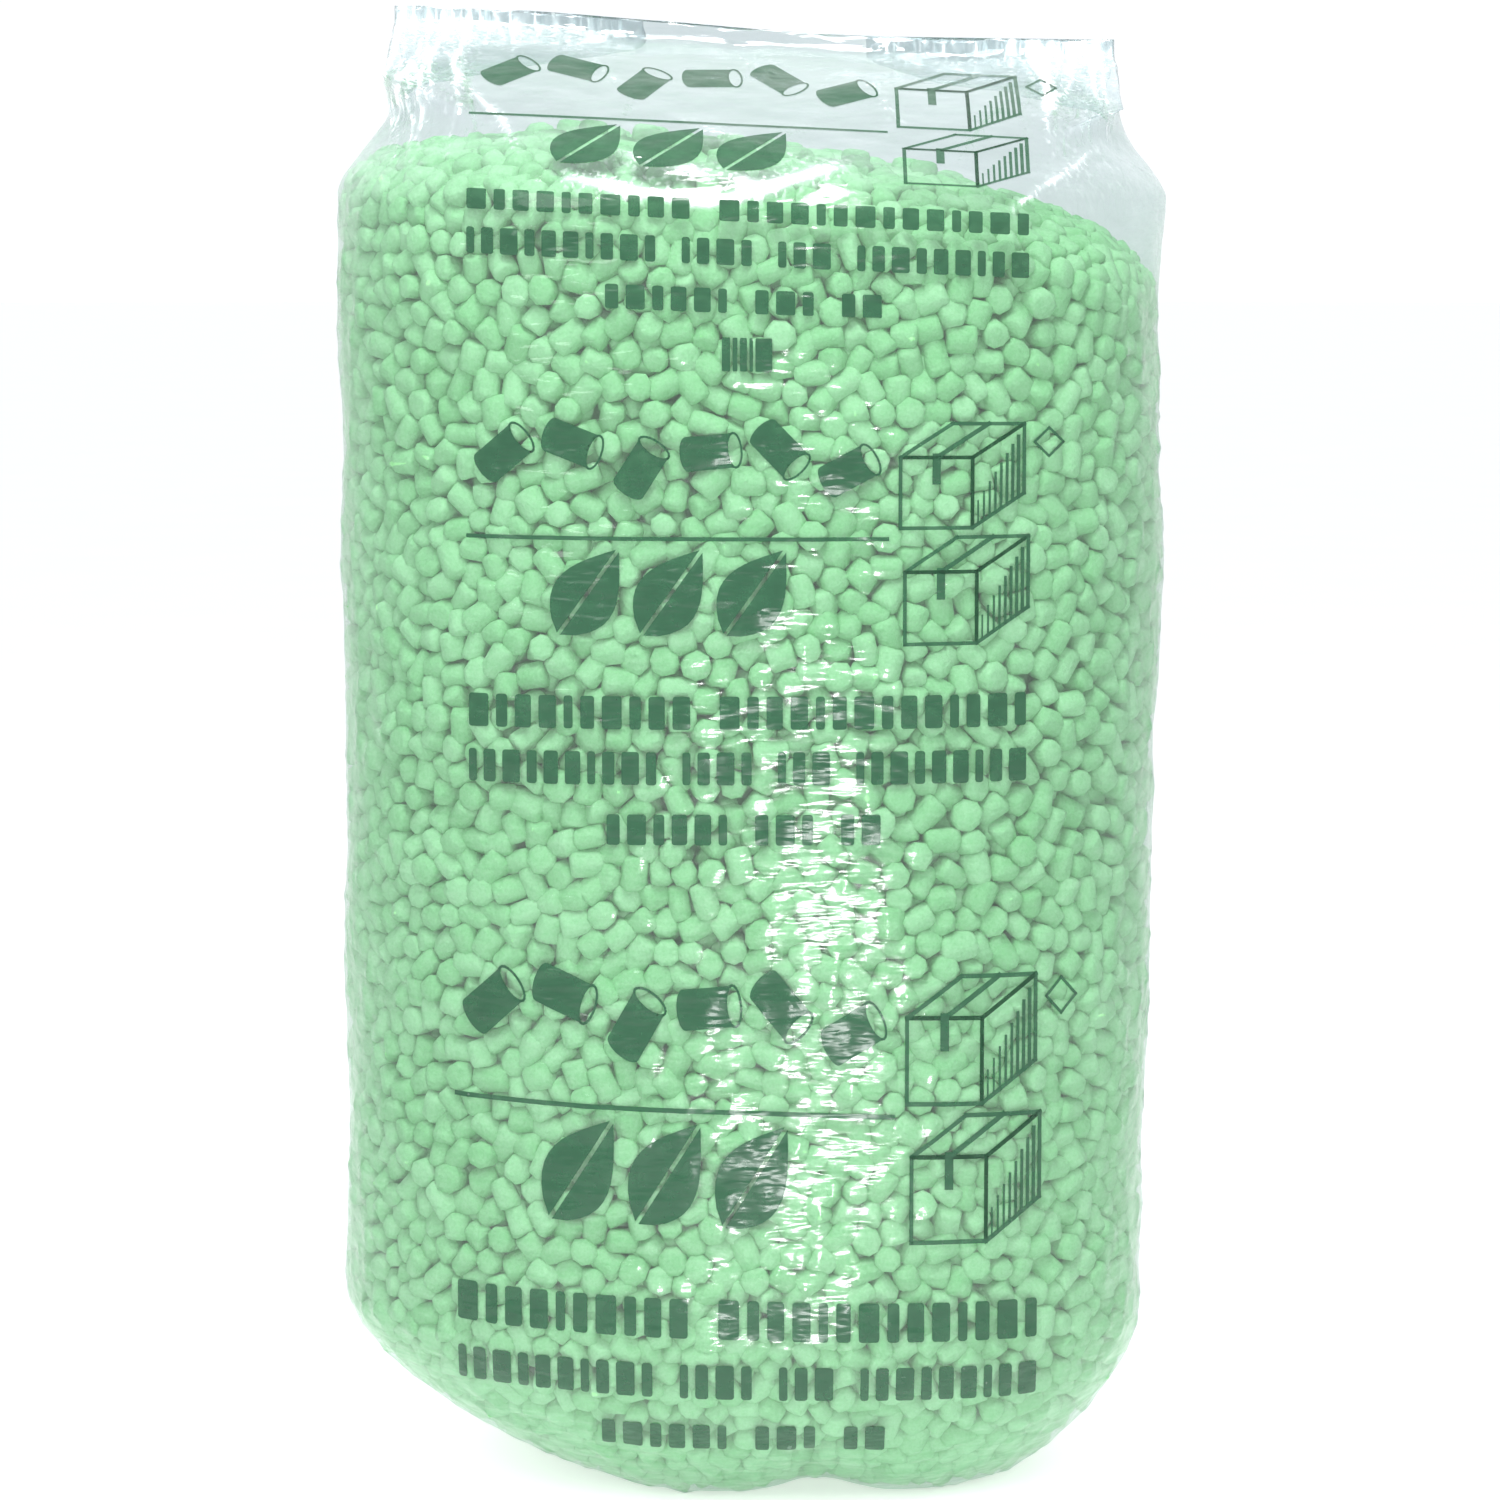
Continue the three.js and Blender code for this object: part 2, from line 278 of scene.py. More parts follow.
def film_lean(form, height):
    """Slope of the film down to the right, which grows from the upper body to the gable."""
    start, end = 0.80, 1.15
    return form.film_lean * ramp(height, start, end)


def weld_sway(form, x):
    """How far the weld lies from a straight line: it sags right of the middle and is a little uneven."""
    lowest, reach = 0.11, 0.36
    sag = np.cos(np.clip((x - lowest) / reach, -1, 1) * math.pi / 2) ** 2
    return -form.weld_sag * sag + 0.0008 * np.sin(x * 61) + 0.0005 * np.sin(x * 149)


def gable_rings(form, around):
    """From the round shoulder to the folded weld, and up the fin."""
    rings = []
    shoulder = round_ring(form, form.shoulder_half_width, form.half_depth, around)
    girth = np.linalg.norm(shoulder - np.roll(shoulder, 1, axis=0), axis=1).sum()
    gusset_length = girth / 4 * GUSSET_SHARE
    closed_half_depth, closing_power = 0.006, 1.7
    # Heights over the shoulder where the gable starts and stops narrowing, and where its folding starts
    start, left_end, right_end, folding_start = 0.004, 0.088, 0.078, 0.052
    base = form.shoulder_height
    shoulder_half, weld_half = form.shoulder_half_width, form.weld_half_width
    for row in range(1, GABLE_ROWS + 1):
        rise = row / GABLE_ROWS
        height = base + (form.weld_height - base) * rise
        closed = 1 - rise**closing_power
        half_depth = closed_half_depth + (form.half_depth - closed_half_depth) * closed
        narrowing = ramp(height, base + start, base + left_end)
        half_width = shoulder_half + (weld_half - shoulder_half) * narrowing
        folding = ramp(height, base + folding_start, form.weld_height)
        ring = round_ring(form, half_width, half_depth, around) * (1 - folding)
        ring = ring + folded_ring(half_width, half_depth, folding * gusset_length, around) * folding
        ring[:, 0] *= half_width / ring[:, 0].max()
        late = ramp(height - form.right_shoulder, base + start, base + right_end)
        right_half = shoulder_half + (weld_half - shoulder_half) * late
        ring[:, 0] *= np.where(ring[:, 0] > 0, right_half / half_width, 1)
        ring = placed(ring, form.weld_shift * narrowing, height, film_lean(form, height))
        ring[:, 2] += weld_sway(form, ring[:, 0]) * rise**2
        rings.append(ring)
    for share, half_depth in FIN_RINGS:
        ring = folded_ring(form.weld_half_width, half_depth, gusset_length, around)
        height = form.weld_height + form.fin_height * share
        ring = placed(ring, form.weld_shift, height, film_lean(form, height))
        ring[:, 2] += weld_sway(form, ring[:, 0])
        rings.append(ring)
    return rings


def heap_rings(form, inset, around):
    """The heap over its edge: the section shrinks towards the crest."""
    rings = []
    half_width = body_half_width(form, form.heap_edge) - inset
    for row in range(1, HEAP_ROWS):
        angle = row / HEAP_ROWS * math.pi / 2
        shrink = math.cos(angle) ** (2 / form.roundness)
        rise = math.sin(angle) ** (2 / form.roundness)
        height = form.heap_edge + (form.heap_crest - form.heap_edge) * rise - inset
        ring = round_ring(form, half_width * shrink, (form.half_depth - inset) * shrink, around)
        rings.append(placed(ring, 0, height, form.heap_lean))
    return rings


def film_grid(form, around):
    """Outer face of the bare film, from the middle of its underside to the top of its fin."""
    lean = lambda height: film_lean(form, height)
    body = body_rings(form, 0, form.shoulder_height, lean, around)
    return np.array(foot_rings(form, 0, around) + body + gable_rings(form, around))


def fill_grid(form, inset):
    """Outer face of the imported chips, an even distance inside the film up to the heap's edge."""
    lean = lambda height: form.heap_lean * ramp(height, form.corner_height, form.heap_edge)
    body = body_rings(form, inset, form.heap_edge - inset, lean, AROUND)
    return np.array(foot_rings(form, inset, AROUND) + body + heap_rings(form, inset, AROUND))


def grid_normals(grid):
    """Outward unit normals of a grid of rings."""
    around = np.roll(grid, -1, axis=1) - np.roll(grid, 1, axis=1)
    up = np.gradient(grid, axis=0)
    normal = np.cross(around, up)
    size = np.linalg.norm(normal, axis=2, keepdims=True)
    return normal / np.maximum(size, 1e-12)


def waves(points, seed, count, scale):
    """Smooth noise, mostly from -1 to 1, as a sum of waves in random directions."""
    rng = np.random.default_rng(seed)
    total = np.zeros(points.shape[:-1])
    for _ in range(count):
        direction = rng.normal(size=3)
        direction *= 2 * math.pi / (scale * rng.uniform(0.7, 1.5) * np.linalg.norm(direction))
        total += np.sin(points @ direction + rng.uniform(0, 2 * math.pi))
    return total / math.sqrt(count * 2)


def lumped(form, grid):
    """The grid with the slow waves that loose chips press into a bag, a tuck and a lifted left foot."""
    height = grid[..., 2]
    # The lumps fade out at the floor and towards the weld
    depth = form.lumps * ramp(height, 0.01, 0.12) * (1 - ramp(height, 1.18, 1.27))
    long_wave, short_wave = 0.34, 0.13
    push = waves(grid, 11, 9, long_wave) + 0.45 * waves(grid, 12, 9, short_wave)
    moved = grid + grid_normals(grid) * (push * depth)[..., None]
    # The tuck is short and lies under the front edge; the lift grows to the left of the patch
    tuck_middle, tuck_width = 0.060, 0.042
    across = np.exp(-(((grid[..., 0] - tuck_middle) / tuck_width) ** 2))
    tuck = across * ramp(-grid[..., 1], 0.09, 0.17) * (1 - ramp(height, 0.02, 0.10))
    hang = ramp(-grid[..., 0], 0.07, 0.20) * (1 - ramp(height, 0.05, 0.20))
    moved[..., 2] += form.tuck * tuck + form.foot_lift * hang
    return moved


# ---- meshes ----


def grid_faces(rows, columns):
    """Quads between the rings of a grid, facing out."""
    row, column = np.meshgrid(np.arange(rows - 1), np.arange(columns), indexing="ij")
    after = (column + 1) % columns
    low = row * columns
    high = low + columns
    faces = np.stack([low + column, low + after, high + after, high + column], axis=-1)
    return faces.reshape(-1, 4)


def new_object(name, mesh):
    """A new object in the scene."""
    piece = bpy.data.objects.new(name, mesh)
    bpy.context.scene.collection.objects.link(piece)
    return piece


def closed_mesh(name, grid):
    """Mesh of a grid of rings, closed at both ends and smooth."""
    rows, columns = grid.shape[:2]
    faces = grid_faces(rows, columns).tolist()
    faces.append(list(range(columns))[::-1])
    faces.append([(rows - 1) * columns + i for i in range(columns)])
    mesh = bpy.data.meshes.new(name)
    mesh.from_pydata(grid.reshape(-1, 3).tolist(), [], faces)
    mesh.shade_smooth()
    return mesh


def triangle_arrays(mesh):
    """A mesh's places, and the places that each of its triangles joins."""
    mesh.calc_loop_triangles()
    corners = np.empty(len(mesh.vertices) * 3, np.float32)
    mesh.vertices.foreach_get("co", corners)
    triangles = np.empty(len(mesh.loop_triangles) * 3, np.int32)
    mesh.loop_triangles.foreach_get("vertices", triangles)
    return corners.reshape(-1, 3), triangles.reshape(-1, 3)


def ray_tree(meshes):
    """One tree of the triangles of several meshes, for rays and for nearest places."""
    corners, triangles, count = [], [], 0
    for mesh in meshes:
        points, faces = triangle_arrays(mesh)
        corners.append(points)
        triangles.append(faces + count)
        count += len(points)
    return BVHTree.FromPolygons(np.concatenate(corners).tolist(), np.concatenate(triangles).tolist())


# ---- the packing ----


def snapped(tree, points):
    """Nearest places on the surface, with its normals there."""
    spots = np.empty_like(points)
    normals = np.empty_like(points)
    for i, point in enumerate(points):
        place, normal, _, _ = tree.find_nearest(Vector(point))
        spots[i] = place
        normals[i] = normal
    return spots, normals


def close_pairs(points, reach):
    """The two indices of every pair of points within reach of each other."""
    tree = KDTree(len(points))
    for i, point in enumerate(points):
        tree.insert(point, i)
    tree.balance()
    pairs = []
    for i, point in enumerate(points):
        pairs += [(i, j) for _, j, _ in tree.find_range(point, reach) if j > i]
    return np.array(pairs).T


def spread_points(mesh, spacing, seed):
    """Points at about one spacing from each other all over a surface, pushed apart in rounds."""
    rng = np.random.default_rng(seed)
    corners, triangles = triangle_arrays(mesh)
    a, b, c = corners[triangles].transpose(1, 0, 2).astype(float)
    areas = np.linalg.norm(np.cross(b - a, c - a), axis=1) / 2
    count = int(areas.sum() / (spacing**2 * math.sqrt(3) / 2))
    chosen = rng.choice(len(areas), count, p=areas / areas.sum())
    u, v = rng.random((2, count, 1))
    flip = u + v > 1
    u, v = np.where(flip, 1 - u, u), np.where(flip, 1 - v, v)
    points = a[chosen] + u * (b - a)[chosen] + v * (c - a)[chosen]
    tree = ray_tree([mesh])
    rounds, rounds_per_search, reach = 18, 3, spacing * 1.7
    wanted, eagerness = spacing * 1.08, 0.38
    for step in range(rounds):
        if step % rounds_per_search == 0:
            first, second = close_pairs(points, reach)
        apart = points[first] - points[second]
        distance = np.maximum(np.linalg.norm(apart, axis=1, keepdims=True), 1e-6)
        push = apart / distance * np.clip(wanted - distance, 0, None) * eagerness
        np.add.at(points, first, push)
        np.add.at(points, second, -push)
        points, normals = snapped(tree, points)
    return points, normals


def chip_axes(normals, rng, lying):
    """Directions of the chips' axes: most lie along the surface, the others stand on it."""
    count = len(normals)
    random = rng.normal(size=(count, 3))
    along = random - normals * (random * normals).sum(axis=1, keepdims=True)
    along /= np.linalg.norm(along, axis=1, keepdims=True)
    standing = rng.random((count, 1)) > lying
    usual_tilt = 0.32
    tilt = rng.normal(scale=usual_tilt, size=(count, 1))
    base = np.where(standing, normals, along)
    other = np.where(standing, along, normals)
    axes = base + other * tilt
    return axes / np.linalg.norm(axes, axis=1, keepdims=True)


def chip_reach(form, axes, normals, sizes):
    """How far each chip reaches out from its middle along the surface's normal."""
    upright = np.abs((axes * normals).sum(axis=1))
    level = np.sqrt(np.clip(1 - upright**2, 0, 1))
    half = form.length / 2 * sizes[:, 2] - form.rim
    radius = form.radius * sizes[:, 0] - form.rim
    return half * upright + radius * level + form.rim


def chip_points(name, points, axes, sizes, tints):
    """Loose points that carry what each chip needs."""
    mesh = bpy.data.meshes.new(name)
    mesh.from_pydata(points.tolist(), [], [])
    for label, values in (("axis", axes), ("size", sizes)):
        mesh.attributes.new(label, "FLOAT_VECTOR", "POINT").data.foreach_set("vector", values.ravel())
    mesh.attributes.new("tint", "FLOAT", "POINT").data.foreach_set("value", tints)
    return mesh


# ---- node tools ----


def add_node(tree, kind, values=None, **settings):
    """A new node with its settings, its inputs linked to sockets or set to values."""
    node = tree.nodes.new(kind)
    for key, value in settings.items():
        setattr(node, key, value)
    for key, value in (values or {}).items():
        if isinstance(value, bpy.types.NodeSocket):
            tree.links.new(value, node.inputs[key])
        else:
            node.inputs[key].default_value = value
    return node


def out(node, key=0):
    """One of a node's outputs."""
    return node.outputs[key]


def math_node(tree, operation, a, b=0.0, c=0.0):
    """The result of a math node."""
    return out(add_node(tree, "ShaderNodeMath", {0: a, 1: b, 2: c}, operation=operation))


# How far the dents move a chip's skin, at most about half of it
DENT_DEPTH = 0.0060


def chip_tree():
    """Geometry nodes: one foam chip on every point, turned along its axis."""
    tree = bpy.data.node_groups.new("Foam chips", "GeometryNodeTree")
    inputs = {
        "Geometry": "Geometry",
        "Radius": "Float",
        "Length": "Float",
        "Rim": "Float",
        "Sides": "Int",
        "Rim steps": "Int",
        "Seed": "Int",
        "Material": "Material",
    }
    for label, kind in inputs.items():
        tree.interface.new_socket(label, in_out="INPUT", socket_type="NodeSocket" + kind)
    tree.interface.new_socket("Geometry", in_out="OUTPUT", socket_type="NodeSocketGeometry")
    given = add_node(tree, "NodeGroupInput")
    radius, long, rim = given.outputs["Radius"], given.outputs["Length"], given.outputs["Rim"]
    segments = math_node(tree, "MULTIPLY_ADD", given.outputs["Rim steps"], 2.0, 1.0)
    rod = add_node(
        tree,
        "GeometryNodeMeshCylinder",
        {"Vertices": given.outputs["Sides"], "Side Segments": segments, "Radius": radius, "Depth": long},
        fill_type="NGON",
    )
    # The rod's rings draw in towards its ends along a quarter circle, which rounds its rims
    place = add_node(tree, "ShaderNodeSeparateXYZ", {0: out(add_node(tree, "GeometryNodeInputPosition"))})
    height = math_node(tree, "DIVIDE", math_node(tree, "ABSOLUTE", out(place, 2)), long)
    first = math_node(tree, "DIVIDE", 0.5, segments)
    past_straight = math_node(tree, "SUBTRACT", height, first)
    share = math_node(tree, "DIVIDE", past_straight, math_node(tree, "SUBTRACT", 0.5, first))
    turned_in = math_node(tree, "MULTIPLY", share, math.pi / 2)
    inward = math_node(tree, "SUBTRACT", 1.0, math_node(tree, "COSINE", turned_in))
    drawn_in = math_node(tree, "MULTIPLY", inward, math_node(tree, "DIVIDE", rim, radius))
    girth = math_node(tree, "SUBTRACT", 1.0, drawn_in)
    short_of = math_node(tree, "SUBTRACT", 1.0, math_node(tree, "SINE", turned_in))
    below = math_node(tree, "MULTIPLY", rim, short_of)
    end = math_node(tree, "SUBTRACT", math_node(tree, "MULTIPLY", long, 0.5), below)
    x, y = (math_node(tree, "MULTIPLY", out(place, axis), girth) for axis in (0, 1))
    z = math_node(tree, "MULTIPLY", math_node(tree, "SIGN", out(place, 2)), end)
    moved = add_node(tree, "ShaderNodeCombineXYZ", {0: x, 1: y, 2: z})
    chip = add_node(tree, "GeometryNodeSetPosition", {"Geometry": out(rod), "Position": out(moved)})
    smooth = add_node(tree, "GeometryNodeSetShadeSmooth", {"Geometry": out(chip)})
    # Every chip is turned to its own axis, spun about it at random, and sized
    axis, size = (
        out(add_node(tree, "GeometryNodeInputNamedAttribute", {"Name": name}, data_type="FLOAT_VECTOR"))
        for name in ("axis", "size")
    )
    aligned = out(add_node(tree, "FunctionNodeAlignRotationToVector", {"Vector": axis}, axis="Z"))
    full_turn = {"Min": 0.0, "Max": 2 * math.pi, "Seed": given.outputs["Seed"]}
    turn = add_node(tree, "FunctionNodeRandomValue", full_turn)
    angle = next(socket for socket in turn.outputs if socket.enabled)
    spin = out(add_node(tree, "FunctionNodeAxisAngleToRotation", {"Angle": angle}))
    both = {"Rotation": aligned, "Rotate By": spin}
    turned = out(add_node(tree, "FunctionNodeRotateRotation", both, rotation_space="LOCAL"))
    points = given.outputs["Geometry"]
    copies = {"Points": points, "Instance": out(smooth), "Rotation": turned, "Scale": size}
    chips = add_node(tree, "GeometryNodeInstanceOnPoints", copies)
    real = add_node(tree, "GeometryNodeRealizeInstances", {"Geometry": out(chips)})
    # Dents of its own for every chip, from noise that runs through the whole bag
    dents = add_node(tree, "ShaderNodeTexNoise", {"Scale": 55.0, "Detail": 1.0})
    from_middle = {0: dents.outputs["Color"], 1: (0.5, 0.5, 0.5)}
    centred = add_node(tree, "ShaderNodeVectorMath", from_middle, operation="SUBTRACT")
    scaled = {0: out(centred), "Scale": DENT_DEPTH}
    shift = add_node(tree, "ShaderNodeVectorMath", scaled, operation="SCALE")
    dented = add_node(tree, "GeometryNodeSetPosition", {"Geometry": out(real), "Offset": out(shift)})
    coat = {"Geometry": out(dented), "Material": given.outputs["Material"]}
    coated = add_node(tree, "GeometryNodeSetMaterial", coat)
    add_node(tree, "NodeGroupOutput", {"Geometry": out(coated)})
    return tree


def through_nodes(name, mesh, tree, values):
    """A plain object from points run through a node tree, its modifier removed."""
    piece = new_object(name, mesh)
    modifier = piece.modifiers.new("Nodes", "NODES")
    modifier.node_group = tree
    for label, value in values.items():
        modifier[tree.interface.items_tree[label].identifier] = value
    shown = bpy.context.evaluated_depsgraph_get()
    result = bpy.data.meshes.new_from_object(piece.evaluated_get(shown))
    piece.modifiers.clear()
    piece.data = result
    result.name = name
    for label in ("axis", "size"):
        if label in result.attributes:
            result.attributes.remove(result.attributes[label])
    bpy.data.meshes.remove(mesh)
    return piece


# ---- materials ----


def new_material(name):
    """A material without nodes, and its tree."""
    material = bpy.data.materials.new(name)
    material.use_nodes = True
    material.node_tree.nodes.clear()
    return material, material.node_tree


def mixed_colour(tree, share, first, second):
    """Two colours mixed by a share."""
    node = add_node(tree, "ShaderNodeMix", data_type="RGBA")
    for socket, value in ((node.inputs[0], share), (node.inputs[6], first), (node.inputs[7], second)):
        if isinstance(value, bpy.types.NodeSocket):
            tree.links.new(value, socket)
        else:
            socket.default_value = value
    return node.outputs[2]


def noise(tree, place, scale, detail=2.0, roughness=0.5):
    """Smooth noise, mostly around 0.5."""
    values = {"Vector": place, "Scale": scale, "Detail": detail, "Roughness": roughness}
    return out(add_node(tree, "ShaderNodeTexNoise", values))


def object_place(tree):
    """Places in the piece's own frame, in metres."""
    return out(add_node(tree, "ShaderNodeTexCoord"), "Object")


def foam_material(form):
    """Pale green starch foam, each chip a little different, with a fine cellular skin."""
    material, tree = new_material("chip_foam")
    place = object_place(tree)
    # Share of the light green: the chip's own tint, broad patches and a fine grain
    own = add_node(tree, "ShaderNodeAttribute", attribute_name="tint").outputs["Fac"]
    patch = noise(tree, place, 45.0, 3.0, 0.7)
    grain = noise(tree, place, 420.0, 2.0, 0.7)
    own_share, patch_share, grain_share, offset = 0.6, 1.2, 1.3, -1.05
    patchy = math_node(tree, "MULTIPLY_ADD", patch, patch_share, offset)
    mottle = math_node(tree, "MULTIPLY_ADD", grain, grain_share, patchy)
    share = math_node(tree, "MULTIPLY_ADD", own, own_share, mottle)
    base = mixed_colour(tree, share, (*form.dark, 1), (*form.light, 1))
    skin = noise(tree, place, 170.0, 2.0, 0.6)
    bump = add_node(tree, "ShaderNodeBump", {"Strength": 0.7, "Distance": 0.0022, "Height": skin})
    look = {"Base Color": base, "Roughness": 0.85, "Specular IOR Level": 0.2, "Normal": out(bump)}
    shader = add_node(tree, "ShaderNodeBsdfPrincipled", look)
    add_node(tree, "ShaderNodeOutputMaterial", {"Surface": out(shader)})
    return material


def wrinkle_group():
    """Shader nodes: normals of the film's fine wrinkles, which run level like the folds of a full bag."""
    group = bpy.data.node_groups.get("Film wrinkles")
    if group:
        return group
    group = bpy.data.node_groups.new("Film wrinkles", "ShaderNodeTree")
    for label, value in (("Scale", 22.0), ("Depth", 0.003)):
        socket = group.interface.new_socket(label, in_out="INPUT", socket_type="NodeSocketFloat")
        socket.default_value = value
    group.interface.new_socket("Normal", in_out="OUTPUT", socket_type="NodeSocketVector")
    given = add_node(group, "NodeGroupInput")
    squeeze = (1.0, 1.0, 3.6)
    level = add_node(group, "ShaderNodeMapping", {"Vector": object_place(group), "Scale": squeeze})
    crinkle = noise(group, out(level), given.outputs["Scale"], 2.0, 0.5)
    relief = {"Strength": 1.0, "Distance": given.outputs["Depth"], "Height": crinkle}
    bump = add_node(group, "ShaderNodeBump", relief)
    add_node(group, "NodeGroupOutput", {"Normal": out(bump)})
    return group


def film_material(form):
    """Clear blown film: mostly open, a little milky, and glossy over its wrinkles."""
    material, tree = new_material("clear_film")
    place = object_place(tree)
    wrinkles = add_node(tree, "ShaderNodeGroup", node_tree=wrinkle_group())
    edge = out(add_node(tree, "ShaderNodeLayerWeight", {"Blend": 0.5, "Normal": out(wrinkles)}), "Facing")
    # The film turns white in fine upright lines where the crease attribute is high, and fully along the
    # ridges: painted highlight on the creases, the film's own whitening on the weld and the doubled sides
    creased = add_node(tree, "ShaderNodeAttribute", attribute_name="crease").outputs["Fac"]
    upright = add_node(tree, "ShaderNodeMapping", {"Vector": place, "Scale": (1.0, 1.0, 0.12)})
    streaks = noise(tree, out(upright), 210.0, 1.0)
    lines = add_node(tree, "ShaderNodeMapRange", {"Value": streaks, "From Min": 0.54, "From Max": 0.66})
    ridge = math_node(tree, "POWER", creased, 3.0)
    white = math_node(tree, "MULTIPLY_ADD", creased, out(lines), ridge)
    # Share of milk: faint clouds, more of it where the film is seen edge-on, most of it on creases
    milk = math_node(tree, "MULTIPLY_ADD", noise(tree, place, 7.0, 2.0, 0.6), 0.05, 0.02)
    milk = math_node(tree, "MULTIPLY_ADD", math_node(tree, "POWER", edge, 2.2), 0.24, milk)
    milk = math_node(tree, "MULTIPLY_ADD", white, 0.6, milk)
    open_film = add_node(tree, "ShaderNodeBsdfTransparent", {"Color": (*form.tint, 1)})
    # The milk is green over the imported chips, painted light that stands for the green light they throw
    # on the film; above them it has the empty film's own colour, and it is white on creases, partly
    # painted highlight
    height = out(add_node(tree, "ShaderNodeSeparateXYZ", {0: place}), 2)
    empty = add_node(tree, "ShaderNodeMapRange", {"Value": height, "From Min": 1.08, "From Max": 1.16})
    # Painted green light from the chips where they lie behind the film, the film's own haze above them
    hazy = mixed_colour(tree, out(empty), (*form.haze_with_painted_green, 1), (*form.haze, 1))
    # White where creased: painted highlight on the ridges, the film's own whitening on the weld and the
    # doubled sides
    hazy = mixed_colour(tree, white, hazy, (1, 1, 1, 1))
    haze = add_node(tree, "ShaderNodeBsdfPrincipled", {"Base Color": hazy, "Roughness": 0.6})
    body = add_node(tree, "ShaderNodeMixShader", {0: milk, 1: out(open_film), 2: out(haze)})
    mirror = {"Color": (1, 1, 1, 1), "Roughness": 0.14, "Normal": out(wrinkles)}
    gloss = add_node(tree, "ShaderNodeBsdfAnisotropic", mirror)
    shine = math_node(tree, "MULTIPLY_ADD", math_node(tree, "POWER", edge, 5.0), 0.5, 0.045)
    seen = add_node(tree, "ShaderNodeMixShader", {0: shine, 1: out(body), 2: out(gloss)})
    # Shadows see plain tinted film, so that light reaches the chips
    shadow = out(add_node(tree, "ShaderNodeLightPath"), "Is Shadow Ray")
    cast = add_node(tree, "ShaderNodeBsdfTransparent", {"Color": (*form.tint, 1)})
    surface = add_node(tree, "ShaderNodeMixShader", {0: shadow, 1: out(seen), 2: out(cast)})
    add_node(tree, "ShaderNodeOutputMaterial", {"Surface": out(surface)})
    return material


def ink_material(form):
    """Dark green ink on the film's face, a little thin and patchy, as glossy as the film."""
    material, tree = new_material("green_ink")
    place = object_place(tree)
    patch = noise(tree, place, 60.0, 2.0, 0.65)
    thin_ink = [part * 1.6 for part in form.ink]
    base = mixed_colour(tree, patch, (*form.ink, 1), (*thin_ink, 1))
    cover = math_node(tree, "MULTIPLY_ADD", patch, -0.16, 1.0)
    wrinkles = add_node(tree, "ShaderNodeGroup", node_tree=wrinkle_group())
    look = {"Base Color": base, "Roughness": 0.2, "Specular IOR Level": 0.35, "Alpha": cover}
    shader = add_node(tree, "ShaderNodeBsdfPrincipled", {**look, "Normal": out(wrinkles)})
    add_node(tree, "ShaderNodeOutputMaterial", {"Surface": out(shader)})
    return material


def material_of(name, maker, form):
    """The material of that name, made the first time that it is asked for."""
    return bpy.data.materials.get(name) or maker(form)


def floor_material():
    """Pale and matt, glowing weakly around the bag, and seen through from underneath."""
    material, tree = new_material("pale_floor")
    place = object_place(tree)
    base = mixed_colour(tree, noise(tree, place, 3.0), (0.93, 0.93, 0.93, 1), (0.96, 0.96, 0.96, 1))
    full_glow_radius, glow_end_radius, glow_strength = 0.30, 0.90, 0.55
    away = out(add_node(tree, "ShaderNodeVectorMath", {0: place}, operation="LENGTH"), "Value")
    fading = {0: away, 1: full_glow_radius, 2: glow_end_radius, 3: glow_strength, 4: 0.0}
    glow = out(add_node(tree, "ShaderNodeMapRange", fading))
    look = {"Base Color": base, "Roughness": 0.8, "Emission Color": base, "Emission Strength": glow}
    shader = add_node(tree, "ShaderNodeBsdfPrincipled", look)
    through = add_node(tree, "ShaderNodeBsdfTransparent")
    underneath = out(add_node(tree, "ShaderNodeNewGeometry"), "Backfacing")
    surface = add_node(tree, "ShaderNodeMixShader", {0: underneath, 1: out(shader), 2: out(through)})
    add_node(tree, "ShaderNodeOutputMaterial", {"Surface": out(surface)})
    return material


# ---- the stage ----


def aim(piece, target):
    """Points a lamp or a camera at a target."""
    piece.rotation_euler = (Vector(target) - piece.location).to_track_quat("-Z", "Y").to_euler()


# Soft lights: name, place, what they point at, size, all in metres, and power in watts
LIGHTS = (
    ("front_light", (-2.0, -3.4, 2.8), (0, 0, 0.7), (2.0, 2.0), 48),
    ("top_light", (0.0, -1.3, 3.0), (0, -0.2, 1.0), (0.9, 1.3), 78),
    ("low_light", (0.26, -1.8, 0.20), (0.1, 0, 0.4), (0.20, 0.34), 7.5),
)


def soft_light(name, place, target, size, power):
    """A rectangular lamp."""
    lamp = bpy.data.lights.new(name, "AREA")
    lamp.shape = "RECTANGLE"
    lamp.size, lamp.size_y = size
    lamp.energy = power
    piece = new_object(name, lamp)
    piece.location = place
    aim(piece, target)


def wide_floor():
    """A round floor, so wide that its edge meets the bright surroundings far away."""
    radius, sides = 60.0, 48
    turn = [2 * math.pi * step / sides for step in range(sides)]
    corners = [(radius * math.cos(angle), radius * math.sin(angle), 0) for angle in turn]
    mesh = bpy.data.meshes.new("floor")
    mesh.from_pydata(corners, [], [list(range(sides))])
    mesh.materials.append(floor_material())
    return new_object("floor", mesh)


